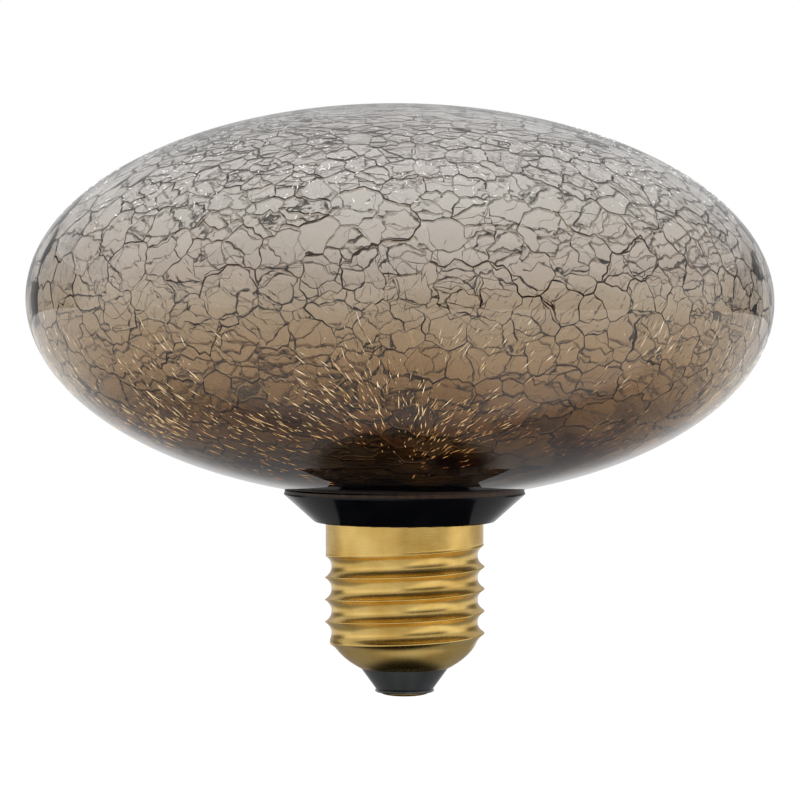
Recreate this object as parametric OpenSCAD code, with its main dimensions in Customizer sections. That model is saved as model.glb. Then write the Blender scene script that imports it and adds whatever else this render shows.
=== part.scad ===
// Decorative crackle-glass LED lamp with a medium Edison screw cap (26 mm thread).
// Upright, cap down. +Z runs up the lamp's axis and the origin is the lowest point
// of the centre contact. Millimetres.

/* [Glass bulb] */
// Largest diameter of the flattened bulb
bulb_d = 122; // [112:0.5:150]
// Height of the crown above the widest level
crown_h = 32.05; // [24:0.05:45]
// Depth of the lower half below the widest level, were it not cut by the neck
belly_h = 32.6; // [24:0.1:45]
// Wall of the blown glass
glass_t = 1.5; // [1:0.1:2.2]
// How far the blown body sits off its own neck, towards -X
glass_offset = 0.75; // [0:0.05:1.2]
// Depth of the neck below the collar's rim
neck_depth = 1.8; // [1:0.1:2.2]

/* [Adhesive] */
// Thickness of the bead between the collar's rim and the glass
bead_t = 0.6; // [0.3:0.1:1]
// Radial room for adhesive round the foot of the neck
neck_glue = 0.5; // [0.3:0.1:0.9]

/* [Collar] */
// Diameter at the rim
rim_d = 39.5; // [36:0.5:48]
// Diameter where the cone meets the underside
collar_base_d = 29.9; // [28:0.1:33]
// Height of the visible collar
collar_h = 4.9; // [4:0.1:6.5]
// Wall of the cone, measured along the radius
collar_wall = 1.45; // [1:0.05:2]
// Radius of the edge between cone and underside
collar_edge_r = 0.7; // [0.3:0.1:1]
// Thickness of the floor that carries the pedestal
floor_t = 1.6; // [1.2:0.1:2.2]
// Wall of the tube inside the screw shell
tube_wall = 1.1; // [0.8:0.1:1.4]

/* [Cap] */
// Diameter over the thread's crests
thread_d = 26.15; // [26.05:0.05:31.4]
// Depth of the thread
thread_depth = 1.1; // [0.9:0.05:1.2]
// Thread pitch, seven turns to the inch
pitch = 3.629; // [3.6:0.001:3.65]
// Step from the crests to the plain skirt, on the radius
skirt_step = 0.175; // [0.1:0.005:0.3]
// Length of the plain skirt
skirt_l = 3.5; // [3:0.1:5]
// Height of the whole cap, from the contact to the collar
cap_h = 28.4; // [26:0.1:32]
// Sheet of the screw shell
shell_t = 0.3; // [0.25:0.05:0.4]
// Radius of the opening in the shell's shoulder
shoulder_r = 7.15; // [6.5:0.05:7.6]
// Height at which that opening lies
shoulder_z = 4.5; // [4:0.1:5]
// Radius of the insulator's foot
insulator_foot_r = 4.7; // [4.4:0.05:5.6]
// Height of the insulator inside the shell
insulator_top_z = 7.2; // [6.4:0.1:7.8]
// Radius of the centre contact's head
contact_r = 4; // [3.2:0.1:4.4]
// Drop of the contact's dome below the insulator
contact_drop = 0.6; // [0.4:0.1:1]
// Radius of the flat worn on the dome
contact_flat_r = 1.4; // [1:0.1:2]

/* [Pedestal and LED module] */
// Height of the pedestal above the collar's floor
pedestal_h = 7.6; // [6:0.1:12]
// Wall and top of the pedestal
pedestal_wall = 1.5; // [1.2:0.1:2]
// Gap round the pedestal, inside the neck's bore and the collar's cone
pedestal_gap = 0.5; // [0.3:0.1:0.8]
// Thickness of the thermal pad
pad_t = 0.5; // [0.3:0.1:1]
// Thickness of the aluminium-core board
led_board_t = 1; // [0.8:0.1:1.6]
// Thickness of the retaining ring
retainer_t = 2.3; // [1.8:0.1:3]
// Radius of the opening in the retaining ring
retainer_bore_r = 8.6; // [8.4:0.1:9]
// Number of LED packages
led_count = 9; // [6:1:10]
// Radius of the ring of LED packages
led_ring_r = 6.6; // [6.4:0.1:6.8]
// Radius on which the module's screws stand
screw_ring_r = 11; // [10.8:0.1:11.2]
// Radius of a module screw's shank
screw_r = 1; // [0.8:0.1:1.2]

/* [Driver] */
// Thickness of the driver board
board_t = 1.2; // [0.8:0.1:1.6]
// Height of the driver board
board_h = 23.2; // [21:0.1:24]
// Diameter of the input capacitor's can
input_can_d = 7; // [6:0.1:8.4]
// Length of the input capacitor's can
input_can_l = 11; // [9:0.5:12]
// Diameter of the output capacitor's can
output_can_d = 5; // [4:0.1:6]
// Length of the output capacitor's can
output_can_l = 7; // [5:0.5:8]
// Diameter of the inductor's flanges
coil_d = 5.6; // [4.6:0.1:5.8]
// Height of the inductor off its board
coil_h = 5; // [4:0.1:6]
// Radius of an insulated lead
lead_r = 0.6; // [0.5:0.05:0.7]
// Radius of the bare neutral lead
bare_lead_r = 0.35; // [0.25:0.05:0.4]

/* [Hidden] */

overlap = 1;

// Cap
crest_r = thread_d / 2;
root_r = crest_r - thread_depth;
skirt_r = crest_r - skirt_step;
skirt_bore_r = skirt_r - shell_t;
skirt_z = cap_h - skirt_l;
shoulder_top_z = 9.6;
shoulder_reach = 7;
shoulder_power = 1.7;
shoulder_cut_z = 8.5;
thread_foot_z = 8.2;
thread_head_z = skirt_z + 0.3;
thread_fade_in = [8.3, 10.3];
thread_fade_out = [skirt_z - 1.5, skirt_z];
first_crest_z = 10.28;
turn_steps = 36;
pitch_steps = 8;
facet_inset = 0.03;
facet_wall = 0.18;

// Tube and board inside the cap
tube_r = root_r - shell_t - 0.25;
bore_r = tube_r - tube_wall;
tube_z = 9.8;
band_z = skirt_z + 0.4;
board_z = tube_z + 1;
board_edge = bore_r - 0.5;
board_face = board_t / 2;
slot_gap = 0.05;
slot_depth = 1.6;
rib_t = 1.1;

// Collar, from the shell's top edge up
rim_r = rim_d / 2;
collar_base_r = collar_base_d / 2;
rim_z = cap_h + collar_h;
floor_z = cap_h + floor_t;
cone_foot_z = cap_h + collar_edge_r / 2;
cone_slope = (rim_r - collar_base_r) / (rim_z - cone_foot_z);
function cone_in(z) = collar_base_r + (z - cone_foot_z) * cone_slope - collar_wall;

// Glass, seated on the bead at the rim
bulb_r = bulb_d / 2;
belly_steps = 48;
widest_z = rim_z + bead_t + belly_h * sqrt(1 - pow(rim_r / bulb_r, 2));
neck_z = rim_z - neck_depth;
neck_r = cone_in(neck_z) - neck_glue;
neck_bore_r = neck_r - glass_t;
neck_top_z = rim_z + bead_t + 2.2;
bead_r = rim_r - 0.15;

// Pedestal and the stack on it
pedestal_r = min(neck_bore_r, cone_in(floor_z)) - pedestal_gap;
pedestal_z = floor_z + pedestal_h;
wire_hole_r = 4.5;
boss_r = 2.1;
boss_l = 4;
pad_z = pedestal_z + pad_t;
led_board_z = pad_z + led_board_t;
retainer_z = led_board_z + retainer_t;
led_board_r = pedestal_r - 0.4;
screw_clear = 0.05;
screw_head_r = 1.7;
screw_head_h = 1;
screw_seat_z = retainer_z - 1.2;
led_size = [2.8, 3.5, 0.8];
hook_w = 3;
hook_t = 1;
hook_gap = 0.1;
hook_l = 4.5;
barb = [0.7, 1];

// Places on the driver board: [x, z], on its two faces
pin_r = 0.3;
pin_clear = 0.05;
lift = 0.2;
mains_x = 3.5;
mains_z = 12.3;
dc_x = 2.6;
dc_z = 32.5;
dc_y = 1.9;
input_at = [2.9, 14.6];
output_at = [-3.6, 23.6];
coil_at = [-4.5, 19];
fuse_at = [0, 29];
fuse_d = 2.6;
fuse_l = 6.4;
fuse_span = 6;
bridge_at = [-3.2, 16];
chip_at = [3.4, 17];
diode_at = [3.6, 22.6];
resistor_z = [25.9, 27.4, 28.9, 30.4];
resistor_x = 1.9;
joint_h = 0.7;

// The leads' routes: through the board, then to where each one ends
live_route = [[3.5, 1.3, 12.3], [3.5, 0, 12.3], [3.5, -1.5, 12.2], [3.2, -2.2, 11.2],
    [1.9, -1.6, 9.9], [0.5, -0.4, 8.9], [0, 0, 7.8], [0, 0, 6.6], [0, 0, 3.4]];
neutral_route = [[-3.5, 1.3, 12.3], [-3.5, 0, 12.3], [-3.5, -1.5, 12.2], [-3.3, -2.4, 11],
    [-2.4, -4.4, 9.4], [-1, -7.4, 8.7], [0, -9.8, 8.7]];

// Shapes worked out by rule

function ease(a, b, x) = let(t = max(0, min(1, (x - a) / (b - a)))) t * t * (3 - 2 * t);

// Half of the flattened bulb, as a closed outline from the lowest point to the crown
function bulb_outline(inset) = [for (i = [0:belly_steps]) let(a = -90 + 180 * i / belly_steps)
    [max(0, (bulb_r - inset) * cos(a)),
        widest_z + ((a < 0 ? belly_h : crown_h) - inset) * sin(a)]];

// Radius of the shell's plain form: the shoulder's curve, then the thread's root
function shell_r(z) = z >= shoulder_top_z ? root_r
    : root_r * pow(1 - pow((shoulder_top_z - z) / shoulder_reach, shoulder_power),
        1 / shoulder_power);

shoulder_steps = 8;
function shoulder_at(i) = let(z = shoulder_z + (shoulder_cut_z - shoulder_z) * i / shoulder_steps)
    [i == 0 ? shoulder_r : shell_r(z), z];
function shoulder_normal(i) = let(d = shoulder_at(min(i + 1, shoulder_steps))
    - shoulder_at(max(i - 1, 0))) [-d[1], d[0]] / norm(d);
shoulder_out = [for (i = [0:shoulder_steps]) shoulder_at(i)];
shoulder_in = [for (i = [0:shoulder_steps]) shoulder_at(i) + shell_t * shoulder_normal(i)];

// The thread's section over one pitch: sharp crests and round roots
function thread_shape(u) = pow(abs(2 * u - 1), 2);
function thread_r(z, u) = let(
    cut = shell_r(z) + thread_depth * thread_shape(u) * ease(thread_fade_in[0], thread_fade_in[1], z))
    cut + (skirt_r - cut) * ease(thread_fade_out[0], thread_fade_out[1], z);

// A tube swept along a list of points
function unit(v) = v / norm(v);
function heading(p, i) = i == 0 ? unit(p[1] - p[0])
    : i == len(p) - 1 ? unit(p[i] - p[i - 1])
    : unit(unit(p[i + 1] - p[i]) + unit(p[i] - p[i - 1]));
function side(p, i) = let(t = heading(p, i),
    s = i == 0 ? (abs(t[0]) < 0.8 ? [1, 0, 0] : [0, 0, 1]) : side(p, i - 1))
    unit(s - (s * t) * t);
function blend(a, b, c, d, t) = 0.5 * (2 * b + (c - a) * t
    + (2 * a - 5 * b + 4 * c - d) * t * t + (3 * b - a - 3 * c + d) * t * t * t);
function smooth(p, n) = concat([for (i = [0:len(p) - 2]) for (j = [0:n - 1])
    blend(p[max(i - 1, 0)], p[i], p[i + 1], p[min(i + 2, len(p) - 1)], j / n)],
    [p[len(p) - 1]]);

lead_sides = 8;
module lead(route, r, n = 3) {
    p = smooth(route, n);
    rings = [for (i = [0:len(p) - 1]) let(s = side(p, i), t = cross(heading(p, i), s))
        for (k = [0:lead_sides - 1]) let(a = 360 * k / lead_sides)
            p[i] + r * (cos(a) * s + sin(a) * t)];
    last = (len(p) - 1) * lead_sides;
    walls = [for (i = [0:len(p) - 2]) for (k = [0:lead_sides - 1])
        let(a = i * lead_sides + k, b = i * lead_sides + (k + 1) % lead_sides)
            [a, b, b + lead_sides, a + lead_sides]];
    ends = [[for (k = [lead_sides - 1:-1:0]) k], [for (k = [0:lead_sides - 1]) last + k]];
    polyhedron(rings, concat(walls, ends), convexity = 6);
}

// Places
module round_screws() {
    for (i = [0:2]) rotate([0, 0, 90 + 120 * i]) translate([screw_ring_r, 0, 0]) children();
}

// Turns a child drawn face up onto the board's front (+Y) face
module on_front(at, y = board_face) {
    translate([at[0], y, at[1]]) rotate([-90, 0, 0]) children();
}

// The same on the board's back (-Y) face
module on_back(at, y = board_face) {
    translate([at[0], -y, at[1]]) rotate([90, 0, 0]) children();
}

// Straight pins through the board, from a component on the given side
module pins(places, side, reach) {
    for (at = places)
        translate([at[0], side * reach, at[1]]) rotate([side * 90, 0, 0])
            cylinder(r = pin_r, h = reach + board_face + 0.8, $fn = 32);
}

input_pins = [[input_at[0] - 1.3, input_at[1] - 0.9], [input_at[0] + 1.3, input_at[1] - 0.9]];
output_pins = [[output_at[0] - 1, output_at[1] - 0.9], [output_at[0] + 1, output_at[1] - 0.9]];
coil_pins = [[coil_at[0] - 1.6, coil_at[1]], [coil_at[0] + 1.6, coil_at[1]]];
fuse_pins = [[-fuse_span, fuse_at[1]], [fuse_span, fuse_at[1]]];

// Glass

module bulb_form(inset, neck, foot) {
    translate([-glass_offset, 0, 0])
        rotate_extrude($fn = 128) polygon(bulb_outline(inset));
    translate([0, 0, foot]) cylinder(r = neck, h = neck_top_z - foot, $fn = 128);
}

module glass_bulb() {
    color([0.55, 0.45, 0.36, 0.55])
        difference() {
            bulb_form(0, neck_r, neck_z);
            bulb_form(glass_t, neck_bore_r, neck_z - overlap);
        }
}

// Fills the groove of the collar, the rim and the foot of the neck
module glass_adhesive() {
    color([0.42, 0.26, 0.12])
        difference() {
            rotate_extrude($fn = 128)
                polygon([[pedestal_r, floor_z], [cone_in(floor_z), floor_z],
                    [cone_in(rim_z), rim_z], [bead_r, rim_z],
                    [bead_r, rim_z + 2 * bead_t], [pedestal_r, rim_z + 2 * bead_t]]);
            bulb_form(0, neck_r, neck_z);
        }
}

// Collar

// The rounded edge between the underside and the cone
edge_steps = 5;
edge_points = [for (i = [0:edge_steps]) let(t = i / edge_steps,
    a = [collar_base_r - 2 * collar_edge_r, cap_h], b = [collar_base_r - 0.3 * collar_edge_r, cap_h],
    c = [collar_base_r, cone_foot_z])
    (1 - t) * (1 - t) * a + 2 * t * (1 - t) * b + t * t * c];

module collar() {
    color([0.04, 0.045, 0.055])
        difference() {
            union() {
                rotate_extrude($fn = 128)
                    polygon(concat([[bore_r, tube_z], [tube_r, tube_z], [tube_r, band_z],
                        [skirt_bore_r, band_z], [skirt_bore_r, cap_h]], edge_points,
                        [[rim_r, rim_z - 0.25], [rim_r - 0.05, rim_z], [cone_in(rim_z), rim_z],
                        [cone_in(floor_z), floor_z], [bore_r, floor_z]]));
                board_guides();
            }
            neutral_groove();
            hook_windows();
        }
}

// Two channels hold the board's edges and close under them
module board_guides() {
    for (turn = [0, 180]) rotate([0, 0, turn])
        intersection() {
            translate([board_edge - slot_depth, -board_face - rib_t, tube_z + 0.4])
                difference() {
                    cube([slot_depth + 1, board_t + 2 * rib_t, cap_h - tube_z - 1]);
                    translate([-overlap, rib_t - slot_gap, board_z - tube_z - 0.4])
                        cube([slot_depth + overlap + 0.1, board_t + 2 * slot_gap, cap_h]);
                }
            cylinder(r = bore_r + tube_wall / 2, h = cap_h, $fn = 128);
        }
}

// A groove for the neutral lead, which the shell clamps
groove_w = 0.9;
groove_l = 5;
module neutral_groove() {
    translate([-groove_w / 2, -tube_r - overlap, tube_z - overlap])
        cube([groove_w, overlap + 0.62, groove_l + overlap]);
}

// The pedestal's barbs spring out into these
module hook_windows() {
    for (turn = [90, 270]) rotate([0, 0, turn])
        translate([bore_r - overlap, -hook_w / 2 - 0.2, floor_z - hook_l - 0.2])
            cube([tube_wall + overlap * 3, hook_w + 0.4, barb[1] + 0.3]);
}

// Pedestal and LED module

module pedestal() {
    color([0.03, 0.03, 0.035])
        difference() {
            union() {
                rotate_extrude($fn = 128)
                    polygon([[pedestal_r - pedestal_wall, floor_z], [pedestal_r, floor_z],
                        [pedestal_r, pedestal_z], [wire_hole_r, pedestal_z],
                        [wire_hole_r, pedestal_z - pedestal_wall],
                        [pedestal_r - pedestal_wall, pedestal_z - pedestal_wall]]);
                screw_bosses();
                hooks();
            }
            round_screws()
                translate([0, 0, pedestal_z - pedestal_wall - boss_l - overlap])
                    cylinder(r = screw_r, h = pedestal_wall + boss_l + 2 * overlap, $fn = 48);
        }
}

module screw_bosses() {
    intersection() {
        round_screws()
            translate([0, 0, pedestal_z - pedestal_wall - boss_l])
                cylinder(r = boss_r, h = boss_l + pedestal_wall / 2, $fn = 48);
        cylinder(r = pedestal_r - pedestal_wall / 2, h = pedestal_z, $fn = 128);
    }
}

// Two sprung legs hold the pedestal down on the collar's floor
module hooks() {
    leg_x = bore_r - hook_gap - hook_t;
    for (turn = [90, 270]) rotate([0, 0, turn]) {
        translate([leg_x, -hook_w / 2, floor_z])
            cube([pedestal_r - pedestal_wall / 2 - leg_x, hook_w, hook_t]);
        translate([leg_x, -hook_w / 2, floor_z - hook_l])
            cube([hook_t, hook_w, hook_l + hook_t / 2]);
        translate([leg_x + hook_t / 2, -hook_w / 2, floor_z - hook_l])
            cube([hook_t / 2 + barb[0], hook_w, barb[1]]);
    }
}

module thermal_pad() {
    color([0.62, 0.66, 0.7])
        difference() {
            translate([0, 0, pedestal_z]) cylinder(r = led_board_r, h = pad_t, $fn = 128);
            translate([0, 0, pedestal_z - overlap])
                cylinder(r = wire_hole_r, h = pad_t + 2 * overlap, $fn = 64);
            screw_holes(pedestal_z, pad_t);
        }
}

module screw_holes(z, h) {
    round_screws()
        translate([0, 0, z - overlap])
            cylinder(r = screw_r + screw_clear, h = h + 2 * overlap, $fn = 48);
}

module led_board() {
    color([0.86, 0.85, 0.8])
        difference() {
            translate([0, 0, pad_z]) cylinder(r = led_board_r, h = led_board_t, $fn = 128);
            for (x = [-dc_x, dc_x])
                translate([x, dc_y, pad_z - overlap])
                    cylinder(r = lead_r + pin_clear, h = led_board_t + 2 * overlap, $fn = 32);
            screw_holes(pad_z, led_board_t);
        }
}

// Flat packages with the phosphor in a round well
module led_packages() {
    color([0.95, 0.72, 0.28])
        for (i = [0:led_count - 1]) rotate([0, 0, 360 * (i + 0.5) / led_count])
            translate([led_ring_r - led_size[0] / 2, -led_size[1] / 2, led_board_z])
                difference() {
                    cube(led_size);
                    translate([led_size[0] / 2, led_size[1] / 2, led_size[2] - 0.15])
                        cylinder(r = 1.1, h = 1, $fn = 32);
                }
}

module led_retainer() {
    chamfer = 0.4;
    color([0.03, 0.03, 0.035])
        difference() {
            rotate_extrude($fn = 128)
                polygon([[retainer_bore_r, led_board_z], [pedestal_r, led_board_z],
                    [pedestal_r, retainer_z - chamfer], [pedestal_r - chamfer, retainer_z],
                    [retainer_bore_r + 0.3, retainer_z]]);
            screw_holes(led_board_z, retainer_t);
            round_screws() translate([0, 0, screw_seat_z])
                cylinder(r = screw_head_r + 0.1, h = retainer_t, $fn = 48);
        }
}

module module_screws() {
    shank_l = screw_seat_z - (pedestal_z - pedestal_wall - boss_l) - 0.5;
    slot = [2 * screw_head_r - 1.2, 0.5];
    color([0.7, 0.7, 0.68])
        round_screws() difference() {
            rotate_extrude($fn = 48)
                polygon([[0, screw_seat_z - shank_l], [screw_r * 0.4, screw_seat_z - shank_l],
                    [screw_r, screw_seat_z - shank_l + 0.8], [screw_r, screw_seat_z],
                    [screw_head_r, screw_seat_z], [screw_head_r, screw_seat_z + 0.5],
                    [screw_head_r * 0.6, screw_seat_z + screw_head_h],
                    [0, screw_seat_z + screw_head_h]]);
            for (turn = [0, 90]) rotate([0, 0, turn])
                translate([-slot[0] / 2, -slot[1] / 2, screw_seat_z + 0.45])
                    cube([slot[0], slot[1], screw_head_h]);
        }
}

// Driver

module driver_board() {
    color([0.16, 0.36, 0.2])
        difference() {
            translate([-board_edge, -board_face, board_z])
                cube([2 * board_edge, board_t, board_h]);
            for (at = concat(input_pins, output_pins, coil_pins, fuse_pins))
                through_hole(at, pin_r);
            through_hole([mains_x, mains_z], lead_r);
            through_hole([-mains_x, mains_z], bare_lead_r);
            for (x = [-dc_x, dc_x]) through_hole([x, dc_z], lead_r);
        }
}

module through_hole(at, r) {
    on_front(at, -board_face - overlap)
        cylinder(r = r + pin_clear, h = board_t + 2 * overlap, $fn = 32);
}

// An electrolytic can lying along the board, with its pins bent down through it
module can(d, l, at, side, places) {
    y = side * (board_face + lift + d / 2);
    pin_y = board_face + lift + d / 2;
    translate([at[0], y, at[1]])
        rotate_extrude($fn = 64)
            polygon([[0, 0], [d / 2 - 0.3, 0], [d / 2, 0.3], [d / 2, 1.2], [d / 2 - 0.3, 1.5],
                [d / 2, 1.8], [d / 2, l - 0.3], [d / 2 - 0.4, l], [0, l]]);
    for (p = places) {
        translate([p[0], y, p[1]])
            cylinder(r = pin_r, h = at[1] - p[1] + 0.2, $fn = 32);
        translate([p[0], y, p[1]]) sphere(r = pin_r, $fn = 32);
    }
    pins(places, side, pin_y);
}

module input_capacitor() {
    color([0.1, 0.11, 0.2]) can(input_can_d, input_can_l, input_at, 1, input_pins);
}

module output_capacitor() {
    color([0.12, 0.2, 0.3]) can(output_can_d, output_can_l, output_at, -1, output_pins);
}

// A ferrite drum standing on the board
flange_t = 0.9;
drum_r = 1.7;
module inductor_core() {
    color([0.2, 0.19, 0.19]) {
        on_front(coil_at)
            rotate_extrude($fn = 64)
                polygon([[0, 0], [coil_d / 2, 0], [coil_d / 2, flange_t], [drum_r, flange_t],
                    [drum_r, coil_h - flange_t], [coil_d / 2, coil_h - flange_t],
                    [coil_d / 2, coil_h], [0, coil_h]]);
        pins(coil_pins, 1, board_face + flange_t / 2);
    }
}

module inductor_winding() {
    color([0.72, 0.38, 0.18])
        on_front(coil_at) rotate_extrude($fn = 64)
            polygon([[drum_r, flange_t], [coil_d / 2 - 0.35, flange_t],
                [coil_d / 2 - 0.35, coil_h - flange_t], [drum_r, coil_h - flange_t]]);
}

module fusible_resistor() {
    y = board_face + lift + fuse_d / 2;
    color([0.35, 0.5, 0.62]) {
        translate([-fuse_l / 2, y, fuse_at[1]]) rotate([0, 90, 0])
            rotate_extrude($fn = 48)
                polygon([[0, 0], [fuse_d / 2 - 0.3, 0], [fuse_d / 2, 0.3], [fuse_d / 2, 1.3],
                    [fuse_d / 2 - 0.2, 1.7], [fuse_d / 2 - 0.2, fuse_l - 1.7],
                    [fuse_d / 2, fuse_l - 1.3], [fuse_d / 2, fuse_l - 0.3],
                    [fuse_d / 2 - 0.3, fuse_l], [0, fuse_l]]);
        translate([-fuse_span, y, fuse_at[1]]) rotate([0, 90, 0])
            cylinder(r = pin_r, h = 2 * fuse_span, $fn = 32);
        for (p = fuse_pins) translate([p[0], y, p[1]]) sphere(r = pin_r, $fn = 32);
        pins(fuse_pins, 1, y);
    }
}

// A moulded package with gull-wing feet on the board's back face
module package(at, size, feet, pitch_x, foot_w) {
    foot_t = 0.25;
    on_back(at) {
        translate([-size[0] / 2, -size[1] / 2, 0.1]) cube(size);
        for (i = [0:feet - 1]) let(x = (i - (feet - 1) / 2) * pitch_x)
            for (end = [-1, 1]) {
                translate([x - foot_w / 2, end > 0 ? size[1] / 2 - 0.1 : -size[1] / 2 - 0.9, 0])
                    cube([foot_w, 1, foot_t]);
                translate([x - foot_w / 2, end > 0 ? size[1] / 2 - 0.1 : -size[1] / 2 - 0.3, 0])
                    cube([foot_w, 0.4, size[2] / 2]);
            }
    }
}

module bridge_rectifier() {
    color([0.09, 0.09, 0.1]) package(bridge_at, [4.7, 3.9, 1.5], 2, 2.5, 0.7);
}

module driver_chip() {
    color([0.07, 0.07, 0.08]) package(chip_at, [4.9, 3.9, 1.5], 4, 1.27, 0.4);
}

module output_diode() {
    color([0.1, 0.1, 0.1]) package(diode_at, [2.6, 3.2, 2], 1, 1, 1.5);
}

module chip_resistors() {
    color([0.14, 0.14, 0.15])
        for (z = resistor_z) on_back([resistor_x, z]) translate([-1, -0.62, 0])
            cube([2, 1.24, 0.5]);
}

// Leads and solder

module live_lead() {
    color([0.5, 0.12, 0.1]) lead(live_route, lead_r);
}

module neutral_lead() {
    up = bare_lead_r + 0.03;
    in_groove = root_r - shell_t - up;
    color([0.8, 0.5, 0.3])
        lead(concat(neutral_route, [[0, -in_groove + 0.3, 9.1], [0, -in_groove, 10],
            [0, -in_groove, tube_z + groove_l - 0.3]]), bare_lead_r);
}

module led_lead(x) {
    lead([[x, -1.3, dc_z], [x, 0, dc_z], [x, 1, dc_z + 0.1], [x, dc_y - 0.15, dc_z + 0.9],
        [x, dc_y, dc_z + 2], [x, dc_y, pad_z - 0.5], [x, dc_y, led_board_z + joint_h]], lead_r);
}

module led_lead_positive() {
    color([0.75, 0.1, 0.08]) led_lead(-dc_x);
}

module led_lead_negative() {
    color([0.06, 0.06, 0.06]) led_lead(dc_x);
}

// A cone of solder round a lead, open along the middle for it
module joint(r) {
    rotate_extrude($fn = 48)
        polygon([[r + 0.02, 0], [r + 0.7, 0], [r + 0.3, joint_h * 0.6], [r + 0.12, joint_h],
            [r + 0.02, joint_h]]);
}

module solder_joints() {
    color([0.72, 0.72, 0.74]) {
        on_front([mains_x, mains_z]) joint(lead_r);
        on_front([-mains_x, mains_z]) joint(bare_lead_r);
        for (x = [-dc_x, dc_x]) {
            on_back([x, dc_z]) joint(lead_r);
            translate([x, dc_y, led_board_z]) joint(lead_r);
        }
    }
}

// Cap

// A rolled right-hand thread: rows follow the helix and stop at a level top and foot
module rolled_thread() {
    turns = ceil((thread_head_z - thread_foot_z) / pitch) + 2;
    rows = turns * pitch_steps;
    start = first_crest_z - pitch * ceil((first_crest_z - thread_foot_z) / pitch + 1);
    function level(i, j) = start + pitch * (i / turn_steps + j / pitch_steps);
    function held(z) = max(thread_foot_z, min(thread_head_z, z));
    // The phase where the row's level was held back, so that the ends are smooth
    function phase(i, z) = let(u = (z - start) / pitch - i / turn_steps) u - floor(u);
    function at(i, j, inset) = let(z = held(level(i, j)), a = 360 * i / turn_steps,
        r = thread_r(z, phase(i, z)) - inset) [r * cos(a), r * sin(a), z];
    outer = [for (i = [0:turn_steps - 1]) for (j = [0:rows]) at(i, j, facet_inset)];
    inner = [for (i = [0:turn_steps - 1]) for (j = [0:rows]) at(i, j, facet_inset + facet_wall)];
    n = len(outer);
    // The last column joins the first one, a pitch higher up
    function spot(i, j) = i < turn_steps ? i * (rows + 1) + j : min(j + pitch_steps, rows);
    // A row's cell counts only where its corners differ
    function open(i, j) = level(i, j + 1) > thread_foot_z && level(i, j) < thread_head_z
        || level(i + 1, j + 1) > thread_foot_z && level(i + 1, j) < thread_head_z;
    cells = [for (i = [0:turn_steps - 1]) for (j = [0:rows - 1])
        if (open(i, j)) [spot(i, j), spot(i, j + 1), spot(i + 1, j + 1), spot(i + 1, j)]];
    foot = [for (i = [0:turn_steps - 1]) [spot(i, 0), spot(i + 1, 0)]];
    head = [for (i = [0:turn_steps - 1]) [spot(i, rows), spot(i + 1, rows)]];
    faces = concat(
        [for (c = cells) for (t = [[c[0], c[1], c[2]], [c[0], c[2], c[3]]]) t],
        [for (c = cells) for (t = [[c[0], c[2], c[1]], [c[0], c[3], c[2]]]) t + [n, n, n]],
        [for (e = foot) for (t = [[e[0], e[1], e[1] + n], [e[0], e[1] + n, e[0] + n]]) t],
        [for (e = head) for (t = [[e[0], e[1] + n, e[1]], [e[0], e[0] + n, e[1] + n]]) t]);
    polyhedron(concat(outer, inner), faces, convexity = 10);
}

module screw_shell() {
    color([0.8, 0.64, 0.33]) {
        rotate_extrude($fn = 128)
            polygon([[skirt_bore_r, skirt_z], [skirt_r, skirt_z], [skirt_r, cap_h],
                [skirt_bore_r, cap_h]]);
        rolled_thread();
        rotate_extrude($fn = 128)
            polygon(concat(shoulder_out, [for (i = [shoulder_steps:-1:0]) shoulder_in[i]]));
    }
}

// Black glass pressed into the shell's shoulder
module cap_insulator() {
    lip = [0.15, 0.4];
    inside = [for (p = shoulder_in) if (p[1] < insulator_top_z) p];
    color([0.12, 0.125, 0.13])
        rotate_extrude($fn = 96)
            polygon(concat([[screw_r, contact_drop], [insulator_foot_r - lip[0], contact_drop],
                [insulator_foot_r + lip[0], contact_drop + lip[0]],
                [insulator_foot_r + lip[0], contact_drop + lip[1]],
                [insulator_foot_r, contact_drop + lip[1] + lip[0]],
                [shoulder_r, shoulder_z]], inside,
                [[inside[len(inside) - 1][0], insulator_top_z], [screw_r, insulator_top_z]]));
}

// A headed pin with a blind hole that grips the live lead
module centre_contact() {
    dome_steps = 6;
    shank_top = insulator_top_z - 0.3;
    grip_z = 3;
    color([0.78, 0.6, 0.3])
        rotate_extrude($fn = 96)
            polygon(concat([[0, 0]], [for (i = [0:dome_steps]) let(a = 90 * i / dome_steps)
                [contact_flat_r + (contact_r - contact_flat_r) * sin(a), contact_drop * (1 - cos(a))]],
                [[screw_r, contact_drop], [screw_r, shank_top], [lead_r + 0.02, shank_top],
                [lead_r + 0.02, grip_z], [0, grip_z]]));
}

glass_bulb();
glass_adhesive();
collar();
pedestal();
thermal_pad();
led_board();
led_packages();
led_retainer();
module_screws();
driver_board();
input_capacitor();
output_capacitor();
inductor_core();
inductor_winding();
fusible_resistor();
bridge_rectifier();
driver_chip();
output_diode();
chip_resistors();
live_lead();
neutral_lead();
led_lead_positive();
led_lead_negative();
solder_joints();
screw_shell();
cap_insulator();
centre_contact();
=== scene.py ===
"""Builds the blown crackle glass, the rolled cap and the studio of a decorative LED lamp."""

import math

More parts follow.
